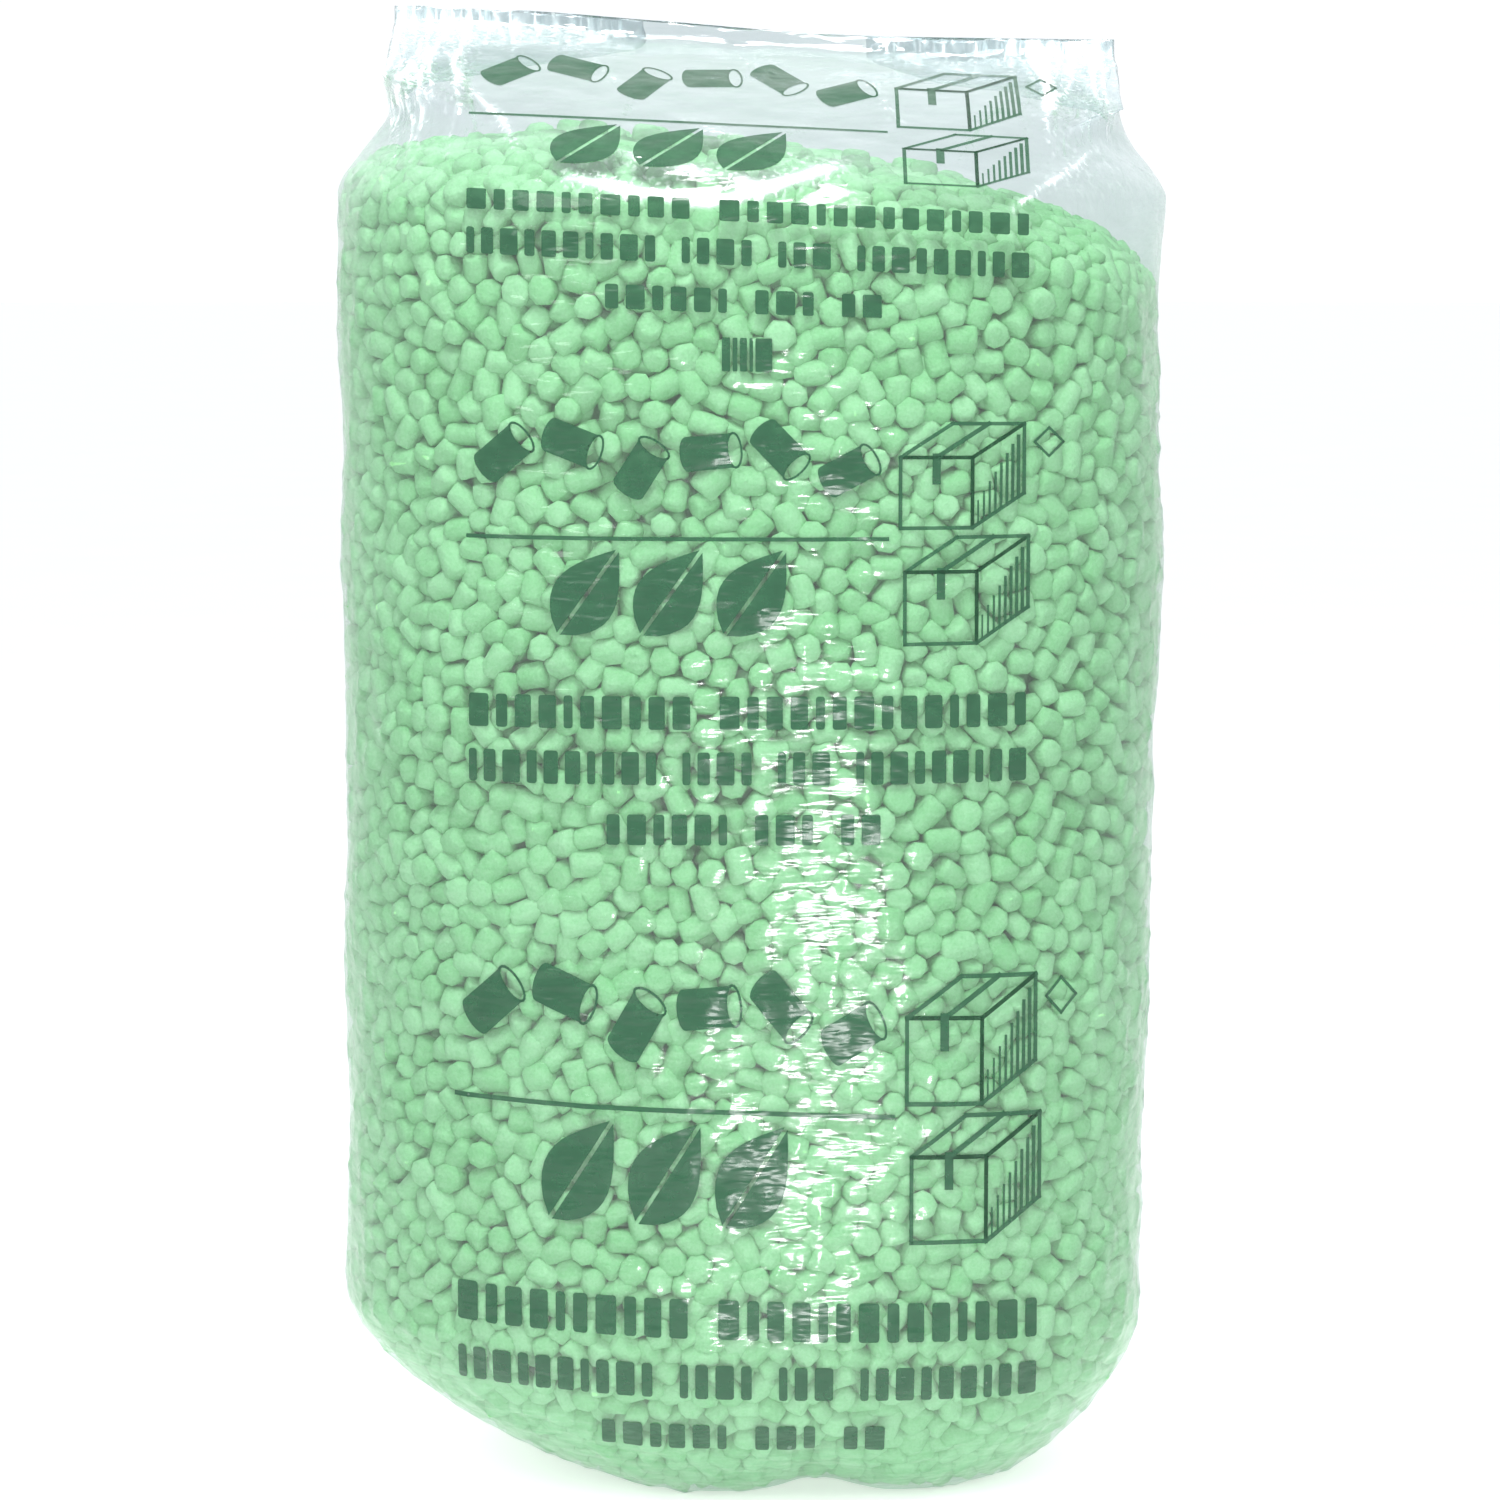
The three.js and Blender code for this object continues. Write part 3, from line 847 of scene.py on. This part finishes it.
class ChipBagStage(bpy.types.Operator):
    """Add the camera, the lights and the floor"""

    bl_idname = "chip_bag.stage"
    bl_label = "Stage"

    def execute(self, context):
        scene = context.scene
        # The camera looks at a point just below the bag's middle, from a little above it
        bag_height = CAD_BOX[1][2]
        aim_share, frame_share = 0.492, 1.033
        middle = Vector((0, 0, bag_height * aim_share))
        distance, elevation, frame_height = 4.6, math.radians(6), bag_height * frame_share
        camera = bpy.data.cameras.new("camera")
        camera.sensor_width = 36
        camera.lens = camera.sensor_width * distance / frame_height
        piece = new_object("camera", camera)
        piece.location = middle + Vector((0, -math.cos(elevation), math.sin(elevation))) * distance
        aim(piece, middle)
        scene.camera = piece
        wide_floor()
        for light in LIGHTS:
            soft_light(*light)
        world = bpy.data.worlds.new("studio")
        world.use_nodes = True
        background = world.node_tree.nodes["Background"].inputs
        background["Color"].default_value = (0.965, 0.985, 1.0, 1)
        background["Strength"].default_value = 1.08
        scene.world = world
        scene.view_settings.view_transform = "Standard"
        return {"FINISHED"}


# ---- the pieces ----


def chips_piece(name, context, points, axes, sizes, tints, sides, rim_steps):
    """A piece with one chip of so many sides on every point."""
    form = context.scene.chip_form
    tree = bpy.data.node_groups.get("Foam chips") or chip_tree()
    mesh = chip_points(name, points, axes, sizes, tints)
    values = {
        "Radius": form.radius,
        "Length": form.length,
        "Rim": form.rim,
        "Sides": sides,
        "Rim steps": rim_steps,
        "Seed": form.seed,
        "Material": material_of("chip_foam", foam_material, form),
    }
    piece = through_nodes(name, mesh, tree, values)
    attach(piece, "root")
    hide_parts("chip_fill")
    return piece


def layer(context, names, depth, seed, lying, jitter, painted_gap_light, sides, rim_steps):
    """One layer of packed chips under the film, cut into bands by height.

    lying is the share of chips that lie along the film, jitter how far the deepest ones sink in, and
    painted_gap_light what is added to their tints: painted light, which lightens the chips that show in
    the shaded gaps.
    """
    bag, form = context.scene.bag_form, context.scene.chip_form
    skin = closed_mesh("skin", lumped(bag, fill_grid(bag, FILM_WALL + depth)))
    points, normals = spread_points(skin, form.spacing, form.seed + seed)
    bpy.data.meshes.remove(skin)
    rng = np.random.default_rng(form.seed + seed)
    count = len(points)
    axes = chip_axes(normals, rng, lying)
    girth = rng.uniform(0.84, 1.10, count)
    flattened = girth * rng.uniform(0.90, 1.04, count)
    lengths = rng.uniform(0.76, 1.10, count)
    sizes = np.stack([girth, flattened, lengths], axis=1)
    sunk = chip_reach(form, axes, normals, sizes) + jitter * rng.random(count) ** 1.5
    points = points - normals * sunk[:, None]
    # Raising the tints paints light on to the chips: the inner layer shows only in the shaded gaps between
    # the outer chips, and comes out lighter than the shade there would leave it
    tints = rng.random(count) + painted_gap_light
    order = np.argsort(points[:, 2], kind="stable")
    for name, part in zip(names, np.array_split(order, len(names))):
        chips_piece(name, context, points[part], axes[part], sizes[part], tints[part], sides, rim_steps)


class ChipBagOuterChips(bpy.types.Operator):
    """Pack the chips that lie against the film"""

    bl_idname = "chip_bag.outer_chips"
    bl_label = "Outer chips"

    def execute(self, context):
        names = ("outer_chips_low", "outer_chips_middle", "outer_chips_top")
        look = {"lying": 0.76, "jitter": 0.006, "painted_gap_light": 0.0, "sides": 8, "rim_steps": 2}
        layer(context, names, depth=0.0, seed=0, **look)
        return {"FINISHED"}


class ChipBagInnerChips(bpy.types.Operator):
    """Pack the second layer, which shows through the gaps, and the core behind it"""

    bl_idname = "chip_bag.inner_chips"
    bl_label = "Inner chips"

    def execute(self, context):
        bag, form = context.scene.bag_form, context.scene.chip_form
        # The inner chips' tints are raised: painted light in the shaded gaps where they show
        look = {"lying": 0.5, "jitter": 0.003, "painted_gap_light": 0.3, "sides": 5, "rim_steps": 1}
        layer(context, ("inner_chips_low", "inner_chips_top"), depth=form.inner_depth, seed=1, **look)
        coarse = fill_grid(bag, form.core_depth)[::CORE_STEP_UP, ::CORE_STEP_AROUND]
        core = closed_mesh("chip_core", lumped(bag, coarse))
        core.materials.append(material_of("chip_foam", foam_material, form))
        piece = new_object("chip_core", core)
        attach(piece, "root")
        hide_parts("chip_fill")
        return {"FINISHED"}


class ChipBagHeapChips(bpy.types.Operator):
    """Settle the loose chips on top of the heap and smooth them"""

    bl_idname = "chip_bag.heap_chips"
    bl_label = "Heap chips"

    def execute(self, context):
        form = context.scene.chip_form
        rng = np.random.default_rng(form.seed)
        whole = bmesh.new()
        tint = whole.verts.layers.float.new("tint")
        for name in LOOSE_CHIPS:
            before = len(whole.verts)
            whole.from_mesh(frame["nodes"][name].data)
            whole.verts.ensure_lookup_table()
            own_tint = rng.random()
            for vert in whole.verts[before:]:
                vert[tint] = own_tint
                vert.co.z -= form.settle
        same_place = 0.00002
        bmesh.ops.remove_doubles(whole, verts=whole.verts[:], dist=same_place)
        for face in whole.faces:
            face.smooth = True
        mesh = bpy.data.meshes.new("loose_chips")
        whole.to_mesh(mesh)
        whole.free()
        mesh.materials.append(material_of("chip_foam", foam_material, form))
        piece = new_object("loose_chips", mesh)
        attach(piece, "root")
        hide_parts(*LOOSE_CHIPS)
        return {"FINISHED"}


def blurred(heights):
    """Each height averaged with its four neighbours, with a third of the weight its own."""
    padded = np.pad(heights, ((1, 1), (0, 0)), mode="edge")
    beside = np.roll(heights, 1, axis=1) + np.roll(heights, -1, axis=1)
    return (beside + padded[:-2] + padded[2:] + 2 * heights) / 6


def pressed_heights(grid, normals, tree):
    """How far the chips reach past each place on the bare film: below zero where they stay short of it,
    and nan where there are none."""
    start, depth, under_fin = 0.012, 0.040, 0.03
    heights = np.full(grid.shape[:2], np.nan)
    for i, j in np.argwhere(grid[..., 2] < grid[..., 2].max() - under_fin):
        normal = Vector(normals[i, j])
        hit = tree.ray_cast(Vector(grid[i, j]) + normal * start, -normal, depth)
        if hit[0] is not None:
            heights[i, j] = start - hit[3]
    return heights


def draped(heights, clearance):
    """A taut sheet laid over the chips: it rests on the proud ones and spans the gaps."""
    deepest_dip, out_of_reach, pull_in = -0.004, -0.012, 0.00002
    filling_rounds, tightening_rounds = 3, 60
    rest = np.where(np.isnan(heights), deepest_dip, np.maximum(heights, deepest_dip)) + clearance
    free = np.isnan(heights) | (heights < out_of_reach)
    sheet = np.where(free, 0.0, rest)
    for _ in range(filling_rounds):
        sheet = np.maximum(sheet, blurred(sheet))
    for _ in range(tightening_rounds):
        sheet = np.maximum(rest, blurred(sheet) - pull_in)
    return sheet


def crease(across, up, start, end, width, height):
    """A sharp ridge along a line on the film, fading at its ends."""
    line = np.array(end) - np.array(start)
    share = ((across - start[0]) * line[0] + (up - start[1]) * line[1]) / (line @ line)
    inside = np.clip(share, 0, 1)
    wander = 0.003 * np.sin(inside * 9 + start[0] * 40)
    away = np.hypot(across - start[0] - inside * line[0] - wander, up - start[1] - inside * line[1])
    return height * np.exp(-away / width) * np.sin(math.pi * np.clip(0.08 + 0.84 * inside, 0, 1)) ** 0.6


# Long creases of the gable's front: from (x, z) to (x, z), width and height, in metres
GABLE_CREASES = [
    ((-0.268, 1.262), (-0.190, 1.170), 0.0025, 0.004),
    ((-0.226, 1.212), (-0.200, 1.190), 0.0030, 0.003),
    ((0.290, 1.170), (0.215, 1.122), 0.0028, 0.005),
    ((0.285, 1.240), (0.245, 1.205), 0.0025, 0.003),
    ((-0.060, 1.200), (0.045, 1.165), 0.0040, 0.003),
    ((-0.150, 1.262), (-0.100, 1.225), 0.0025, 0.003),
    ((0.085, 1.245), (0.130, 1.200), 0.0025, 0.003),
    ((-0.020, 1.262), (0.030, 1.240), 0.0025, 0.003),
    ((-0.155, 1.152), (-0.035, 1.128), 0.0050, 0.008),
    ((-0.045, 1.126), (0.075, 1.158), 0.0050, 0.008),
    ((-0.120, 1.172), (0.010, 1.146), 0.0040, 0.005),
]


def edge_creases(form):
    """Upright folds where the gussets tuck in, closest together at the bag's edges."""
    rng = np.random.default_rng(6)
    folds = []
    for side, count in ((-1, 11), (1, 7)):
        for _ in range(count):
            top = side * rng.uniform(0.76, 0.985) * form.weld_half_width
            foot = top * rng.uniform(0.98, 1.06)
            ends = (top, rng.uniform(1.25, 1.285)), (foot, rng.uniform(1.16, 1.22))
            folds.append((*ends, rng.uniform(0.0012, 0.0022), rng.uniform(0.0015, 0.0045)))
    return folds


def weld_puckers(across, below, form):
    """Short crimps hanging from the weld, most of them where it holds four layers."""
    rng = np.random.default_rng(5)
    folds = np.zeros(across.shape)
    crimps, sharpness = 90, 0.0016
    for _ in range(crimps):
        at = rng.choice([-1, 1]) * form.weld_half_width * rng.uniform(0.1, 1.0) ** 0.55
        reach = rng.uniform(0.006, 0.026)
        drift = rng.uniform(-0.4, 0.4)
        away = np.abs(across - at - drift * below)
        height = rng.uniform(0.0006, 0.0018)
        folds += height * np.exp(-away / sharpness) * np.exp(-np.maximum(below, 0) / reach)
    return folds


def gable_folds(grid, form):
    """Creases of the empty film above the chips: their height, and how much whiter the film is made on
    them, partly as painted highlight.
    """
    across = np.where(grid[..., 1] < 0, grid[..., 0], -grid[..., 0])
    height = grid[..., 2] + film_lean(form, grid[..., 2]) * grid[..., 0]
    ridges = np.zeros(across.shape)
    for fold in GABLE_CREASES + edge_creases(form):
        ridges += crease(across, grid[..., 2], *fold)
    ridges += weld_puckers(across, form.weld_height + 0.004 - height, form)
    # The film is slack above the chips and plain on the fin
    empty = ramp(height, form.shoulder_height - 0.02, form.shoulder_height + 0.06)
    slack = 0.003 * waves(grid, 21, 12, 0.12) + 0.0007 * waves(grid, 22, 12, 0.04)
    free = 1 - ramp(height, form.weld_height - 0.002, form.weld_height + 0.006)
    # The film is whiter along the weld and where the gussets double it at the sides; on its ridges the
    # white is painted highlight
    seamed = 0.5 * np.exp(-np.abs(form.weld_height - height) / 0.014) * ramp(np.abs(across), 0.05, 0.25)
    sides = 0.16 * ramp(np.abs(across), 0.24, 0.30) * empty
    white_ridge = 0.004
    # Painted highlight on the ridges, added to the whitening of the weld and the sides
    whitening_and_glint = np.clip(ridges * np.minimum(3 * empty, 1) / white_ridge + seamed + sides, 0, 1)
    return (ridges + slack) * empty * free, whitening_and_glint


def film_piece(name, closed_at_foot, grid, normals, whitening_and_glint, material):
    """A stretch of film, closed at its foot or its top, with smooth normals that match its neighbour's."""
    rows, columns = grid.shape[:2]
    if closed_at_foot:
        end, facing = list(range(columns))[::-1], -1.0
    else:
        end, facing = [(rows - 1) * columns + i for i in range(columns)], 1.0
    faces = grid_faces(rows, columns)
    mesh = bpy.data.meshes.new(name)
    mesh.from_pydata(grid.reshape(-1, 3).tolist(), [], faces.tolist() + [end])
    mesh.shade_smooth()
    corner_normals = normals.reshape(-1, 3)[faces.ravel()]
    end_normals = np.tile([0, 0, facing], (columns, 1))
    mesh.normals_split_custom_set(np.concatenate([corner_normals, end_normals]).tolist())
    mesh.attributes.new("crease", "FLOAT", "POINT").data.foreach_set("value", whitening_and_glint.ravel())
    mesh.materials.append(material)
    piece = new_object(name, mesh)
    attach(piece, "root")
    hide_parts("bag_film")


class ChipBagFilm(bpy.types.Operator):
    """Lay the film over the chips and fold its gable"""

    bl_idname = "chip_bag.film"
    bl_label = "Film"

    def execute(self, context):
        bag, film = context.scene.bag_form, context.scene.film_form
        chips = [piece.data for piece in bpy.data.objects if piece.name.startswith("outer_chips")]
        if not chips:
            raise RuntimeError("the outer chips come before the film")
        grid = lumped(bag, film_grid(bag, FILM_AROUND))
        normals = grid_normals(grid)
        sheet = draped(pressed_heights(grid, normals, ray_tree(chips)), film.clearance)
        squeezed = grid * np.array([1.0, 1.0, 4.0])
        sheet += film.ripple * (1 + waves(squeezed, 31, 14, 0.05))
        folds, whitening_and_glint = gable_folds(grid, bag)
        sheet += folds
        # All this relief fades towards the top of the fin
        sheet *= ramp(bag.weld_height + bag.fin_height - grid[..., 2], -0.03, 0.03)
        grid = grid + normals * sheet[..., None]
        grid[..., 2] = np.maximum(grid[..., 2], 0)
        normals = grid_normals(grid)
        # Body and gable share the shoulder's ring, where the gable's extra points lie between the body's
        seam = len(grid) - GABLE_ROWS - len(FIN_RINGS) - 1
        grid[seam, 1::2] = (grid[seam, ::2] + np.roll(grid[seam, ::2], -1, axis=0)) / 2
        material = material_of("clear_film", film_material, film)
        below, above = slice(None, seam + 1), slice(seam, None)
        body = (part[below, ::2] for part in (grid, normals, whitening_and_glint))
        gable = (part[above] for part in (grid, normals, whitening_and_glint))
        film_piece("film_body", True, *body, material)
        film_piece("film_gable", False, *gable, material)
        return {"FINISHED"}


# ---- the print ----


def rounded_bar(x0, x1, z0, z1, radius):
    """Outline of a bar with rounded corners."""
    points = []
    for corner_x, corner_z, first in ((x1, z1, 0), (x0, z1, 90), (x0, z0, 180), (x1, z0, 270)):
        toward_x = -radius if first in (0, 270) else radius
        toward_z = -radius if first in (0, 90) else radius
        for step in range(5):
            angle = math.radians(first + step * 22.5)
            x = corner_x + toward_x + radius * math.cos(angle)
            points.append((x, corner_z + toward_z + radius * math.sin(angle)))
    return points


def stroke(points, width, closed=False):
    """Quads along a line of points."""
    shapes = []
    pairs = list(zip(points, points[1:] + points[:1])) if closed else list(zip(points, points[1:]))
    for (x0, z0), (x1, z1) in pairs:
        size = math.hypot(x1 - x0, z1 - z0)
        ux, uz = (x1 - x0) / size * width / 2, (z1 - z0) / size * width / 2
        start = [(x0 - ux + uz, z0 - uz - ux), (x0 - ux - uz, z0 - uz + ux)]
        end = [(x1 + ux + uz, z1 + uz - ux), (x1 + ux - uz, z1 + uz + ux)]
        shapes.append([start[0], *end, start[1]])
    return shapes


def word_row(x0, x1, top, height, words, gap):
    """A row of plain blocks set out like words, with a gap of so many blocks between two words."""
    widths = (1.0, 0.8, 1.15, 0.9, 0.7, 1.05)
    sizes = [[widths[(i * 5 + len(words)) % 6] for i in range(count)] for count in words]
    scale = (x1 - x0) / (sum(map(sum, sizes)) + gap * (len(words) - 1))
    margin = scale * 0.16
    corner = 0.0025
    shapes = []
    at = x0
    for word in sizes:
        for size in word:
            end = at + size * scale
            shapes.append(rounded_bar(at + margin, end - margin, top - height, top, corner))
            at = end
        at += gap * scale
    return shapes


def carton(left, bottom, width, height, line):
    """A plain carton drawn in outline, its right side hatched."""
    lift = width * 0.28
    side = width * 0.42
    edge, far, brim, crown = left + width - side, left + width, bottom + height - lift, bottom + height
    front = [(left, bottom), (edge, bottom), (edge, brim), (left, brim)]
    top = [(left, brim), (edge, brim), (far, crown), (left + side, crown)]
    right = [(edge, bottom), (far, bottom + lift), (far, crown), (edge, brim)]
    shapes = stroke(front, line, True) + stroke(top, line, True) + stroke(right, line, True)
    # Tape across the top and a little way down the front
    middle = (edge + left) / 2
    shapes += stroke([(middle, brim), (middle, brim - height * 0.22)], line * 2.2)
    shapes += stroke([(middle, brim), (middle + side, crown)], line * 1.2)
    hatches = 9
    for i in range(1, hatches):
        share = i / hatches
        x, foot = edge + side * share, bottom + lift * share
        head = foot + (height - lift) * (0.25 + 0.7 * share)
        shapes += stroke([(x, foot), (x, head)], line * (0.4 + 0.6 * share))
    return shapes


def turned(points, angle, x, z):
    """Points turned about their origin and moved to a place."""
    c, s = math.cos(angle), math.sin(angle)
    return [(x + c * px - s * pz, z + s * px + c * pz) for px, pz in points]


def tumbling_chip(x, z, angle, size):
    """A short foam cylinder: its dark side, and its bare round end in outline."""
    half, girth, depth, line = size * 0.5, size * 0.36, size * 0.15, size * 0.045
    turn = [math.radians(90 - 15 * step) for step in range(13)]
    near = [(half + depth * math.cos(a), girth * math.sin(a)) for a in turn]
    side = [(half - depth * math.cos(a) * 1.1, girth * math.sin(a)) for a in turn]
    far = [(-half - depth * math.cos(a), girth * math.sin(a)) for a in reversed(turn)]
    rim = near + [(2 * half - px, pz) for px, pz in reversed(near)][1:-1]
    shapes = []
    for i in range(len(side) - 1):
        shapes.append([side[i], side[i + 1], far[-2 - i], far[-1 - i]])
    shapes += stroke(rim, line, True)
    return [turned(shape, angle, x, z) for shape in shapes]


def leaf(x, z, angle, size):
    """A plain leaf in two halves with a bare vein between them."""
    halves = []
    fullness, half_vein, steps = 0.30, 0.018, 12
    for side in (1, -1):
        curve = []
        for step in range(steps + 1):
            share = step / steps
            bulge = fullness * math.sin(math.pi * share**0.8)
            curve.append((size * (share - 0.5), side * size * (bulge + half_vein)))
        halves.append(turned(curve[::side], angle, x, z))
    return halves


def print_block():
    """One repeat of the print, in metres down from its top and across from its middle."""
    shapes = []
    for i, angle in enumerate((0.7, -0.35, 1.0, 0.1, -0.8, 0.5)):
        shapes += tumbling_chip(-0.207 + 0.058 * i, -0.038 + 0.011 * math.sin(i * 2.2), angle, 0.040)
    line_height, line_width = -0.107, 0.0034
    shapes += stroke([(-0.238, line_height), (0.115, line_height)], line_width)
    for i in range(3):
        shapes += leaf(-0.136 + 0.070 * i, -0.152, 0.95, 0.086)
    # Rows of words: left, right, top, height, blocks in each word
    rows = (
        (-0.241, 0.237, -0.239, 0.028, (10, 14)),
        (-0.241, 0.237, -0.286, 0.028, (10, 4, 3, 9)),
        (-0.124, 0.113, -0.339, 0.026, (6, 3, 2)),
    )
    for row in rows:
        shapes += word_row(*row, gap=0.9)
    for left, bottom in ((0.126, -0.098), (0.130, -0.196)):
        shapes += carton(left, bottom, width=0.105, height=0.090, line=0.0032)
    diamond = [(0.240, -0.024), (0.2525, -0.0115), (0.265, -0.024), (0.2525, -0.0365)]
    shapes += stroke(diamond, 0.0022, True)
    return shapes


# How places in the top repeat, measured down from its top, lie on the gable, in metres
GABLE_PRINT_PLACES = (-0.365, -0.253, -0.107, 0.0)
GABLE_PRINT_HEIGHTS = (1.038, 1.125, 1.195, 1.255)


def eye_mark():
    """The striped patch that a bag machine finds its place by."""
    left, low, high, corner = -0.0235, 0.033, 0.061, 0.001
    bars = ((0.0, 0.007), (0.009, 0.004), (0.015, 0.006), (0.023, 0.003), (0.028, 0.014))
    return [rounded_bar(left + x, left + x + width, low, high, corner) for x, width in bars]


def split_cells(shapes, cell):
    """Flat mesh of the shapes, cut along a lattice so that it can bend with the film."""
    flat = bmesh.new()
    for shape in shapes:
        corners = [flat.verts.new((x, 0, z)) for x, z in shape]
        flat.faces.new(corners)
    xs = [x for shape in shapes for x, _ in shape]
    zs = [z for shape in shapes for _, z in shape]
    for values, axis in ((xs, 0), (zs, 2)):
        steps = int((max(values) - min(values)) / cell)
        for step in range(1, steps + 1):
            spot, normal = [0, 0, 0], [0, 0, 0]
            spot[axis] = min(values) + step * cell
            normal[axis] = 1
            parts = flat.verts[:] + flat.edges[:] + flat.faces[:]
            bmesh.ops.bisect_plane(flat, geom=parts, plane_co=spot, plane_no=normal)
    bmesh.ops.triangulate(flat, faces=flat.faces[:])
    return flat


def laid_on(flat, tree, place, rise):
    """Carries a flat mesh on to the front of the film, just proud of its outer face."""
    lost = []
    for vert in flat.verts:
        x, z = place(vert.co.x, vert.co.z)
        spot, normal, _, _ = tree.ray_cast(Vector((x, -1, z)), Vector((0, 1, 0)))
        if spot is None:
            lost.append(vert)
        else:
            vert.co = spot + normal * rise
    bmesh.ops.delete(flat, geom=lost, context="VERTS")


def front_line(form):
    """Heights of the middle of the film's front, and their distances along it from the floor."""
    front_column = AROUND * 3 // 4
    front = film_grid(form, AROUND)[:, front_column]
    run = np.concatenate([[0], np.cumsum(np.linalg.norm(np.diff(front, axis=0), axis=1))])
    return run, front[:, 2]


class ChipBagPrint(bpy.types.Operator):
    """Print three repeats of plain shapes on the front of the film"""

    bl_idname = "chip_bag.print"
    bl_label = "Print"

    def execute(self, context):
        bag, form = context.scene.bag_form, context.scene.print_form
        tree = ray_tree([bpy.data.objects[name].data for name in ("film_body", "film_gable")])
        run, heights = front_line(bag)

        def down_from(top, stretch):
            """Heights of places below the top of a repeat, measured along the film."""
            return lambda z: float(np.interp(np.interp(top, heights, run) + z * stretch, run, heights))

        def up_the_gable(z):
            """Heights on the slack gable, which pulls the top repeat up and squeezes it."""
            return float(np.interp(z, GABLE_PRINT_PLACES, GABLE_PRINT_HEIGHTS))

        # Each repeat: its shapes, the heights of its places, its stretch across, its slope
        repeats = {
            "print_top": (print_block(), up_the_gable, 1.0, 0.01),
            "print_middle": (print_block() + eye_mark(), down_from(0.957, 1.0), 1.0, 0.0),
            "print_bottom": (print_block(), down_from(0.494, 1.22), 1.055, 0.03),
        }
        for name, (shapes, height_at, wide, slope) in repeats.items():

            def place(x, z, height_at=height_at, wide=wide, slope=slope):
                height = height_at(z - slope * x)
                return x * wide, height - film_lean(bag, height) * x

            flat = split_cells(shapes, form.cell)
            laid_on(flat, tree, place, form.rise)
            mesh = bpy.data.meshes.new(name)
            flat.to_mesh(mesh)
            flat.free()
            mesh.materials.append(material_of("green_ink", ink_material, form))
            mesh.shade_smooth()
            piece = new_object(name, mesh)
            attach(piece, "root")
        return {"FINISHED"}


class ChipBagPanel(bpy.types.Panel):
    """Lists the steps of the bag"""

    bl_idname = "VIEW3D_PT_chip_bag"
    bl_label = "Chip bag"
    bl_space_type = "VIEW_3D"
    bl_region_type = "UI"
    bl_category = "Chip bag"

    def draw(self, context):
        for operator in OPERATORS:
            self.layout.operator(operator.bl_idname)
        for name in FORMS:
            form = getattr(context.scene, name)
            box = self.layout.box()
            for key in form.bl_rna.properties.keys():
                if key not in ("name", "rna_type"):
                    box.prop(form, key)


FORMS = {"bag_form": BagForm, "chip_form": ChipForm, "film_form": FilmForm, "print_form": PrintForm}
OPERATORS = (
    ChipBagStage,
    ChipBagOuterChips,
    ChipBagInnerChips,
    ChipBagHeapChips,
    ChipBagFilm,
    ChipBagPrint,
)


def register():
    """Adds the properties, the operators and the panel."""
    for cls in (*FORMS.values(), *OPERATORS, ChipBagPanel):
        bpy.utils.register_class(cls)
    for name, cls in FORMS.items():
        setattr(bpy.types.Scene, name, bpy.props.PointerProperty(type=cls))


def unregister():
    """Takes them away again."""
    for name in FORMS:
        delattr(bpy.types.Scene, name)
    for cls in (ChipBagPanel, *reversed(OPERATORS), *reversed(FORMS.values())):
        bpy.utils.unregister_class(cls)


def main():
    """Builds the bag."""
    register()
    bpy.ops.chip_bag.stage()
    bpy.ops.chip_bag.outer_chips()
    bpy.ops.chip_bag.inner_chips()
    bpy.ops.chip_bag.heap_chips()
    bpy.ops.chip_bag.film()
    bpy.ops.chip_bag.print()


if __name__ == "__main__":
    main()
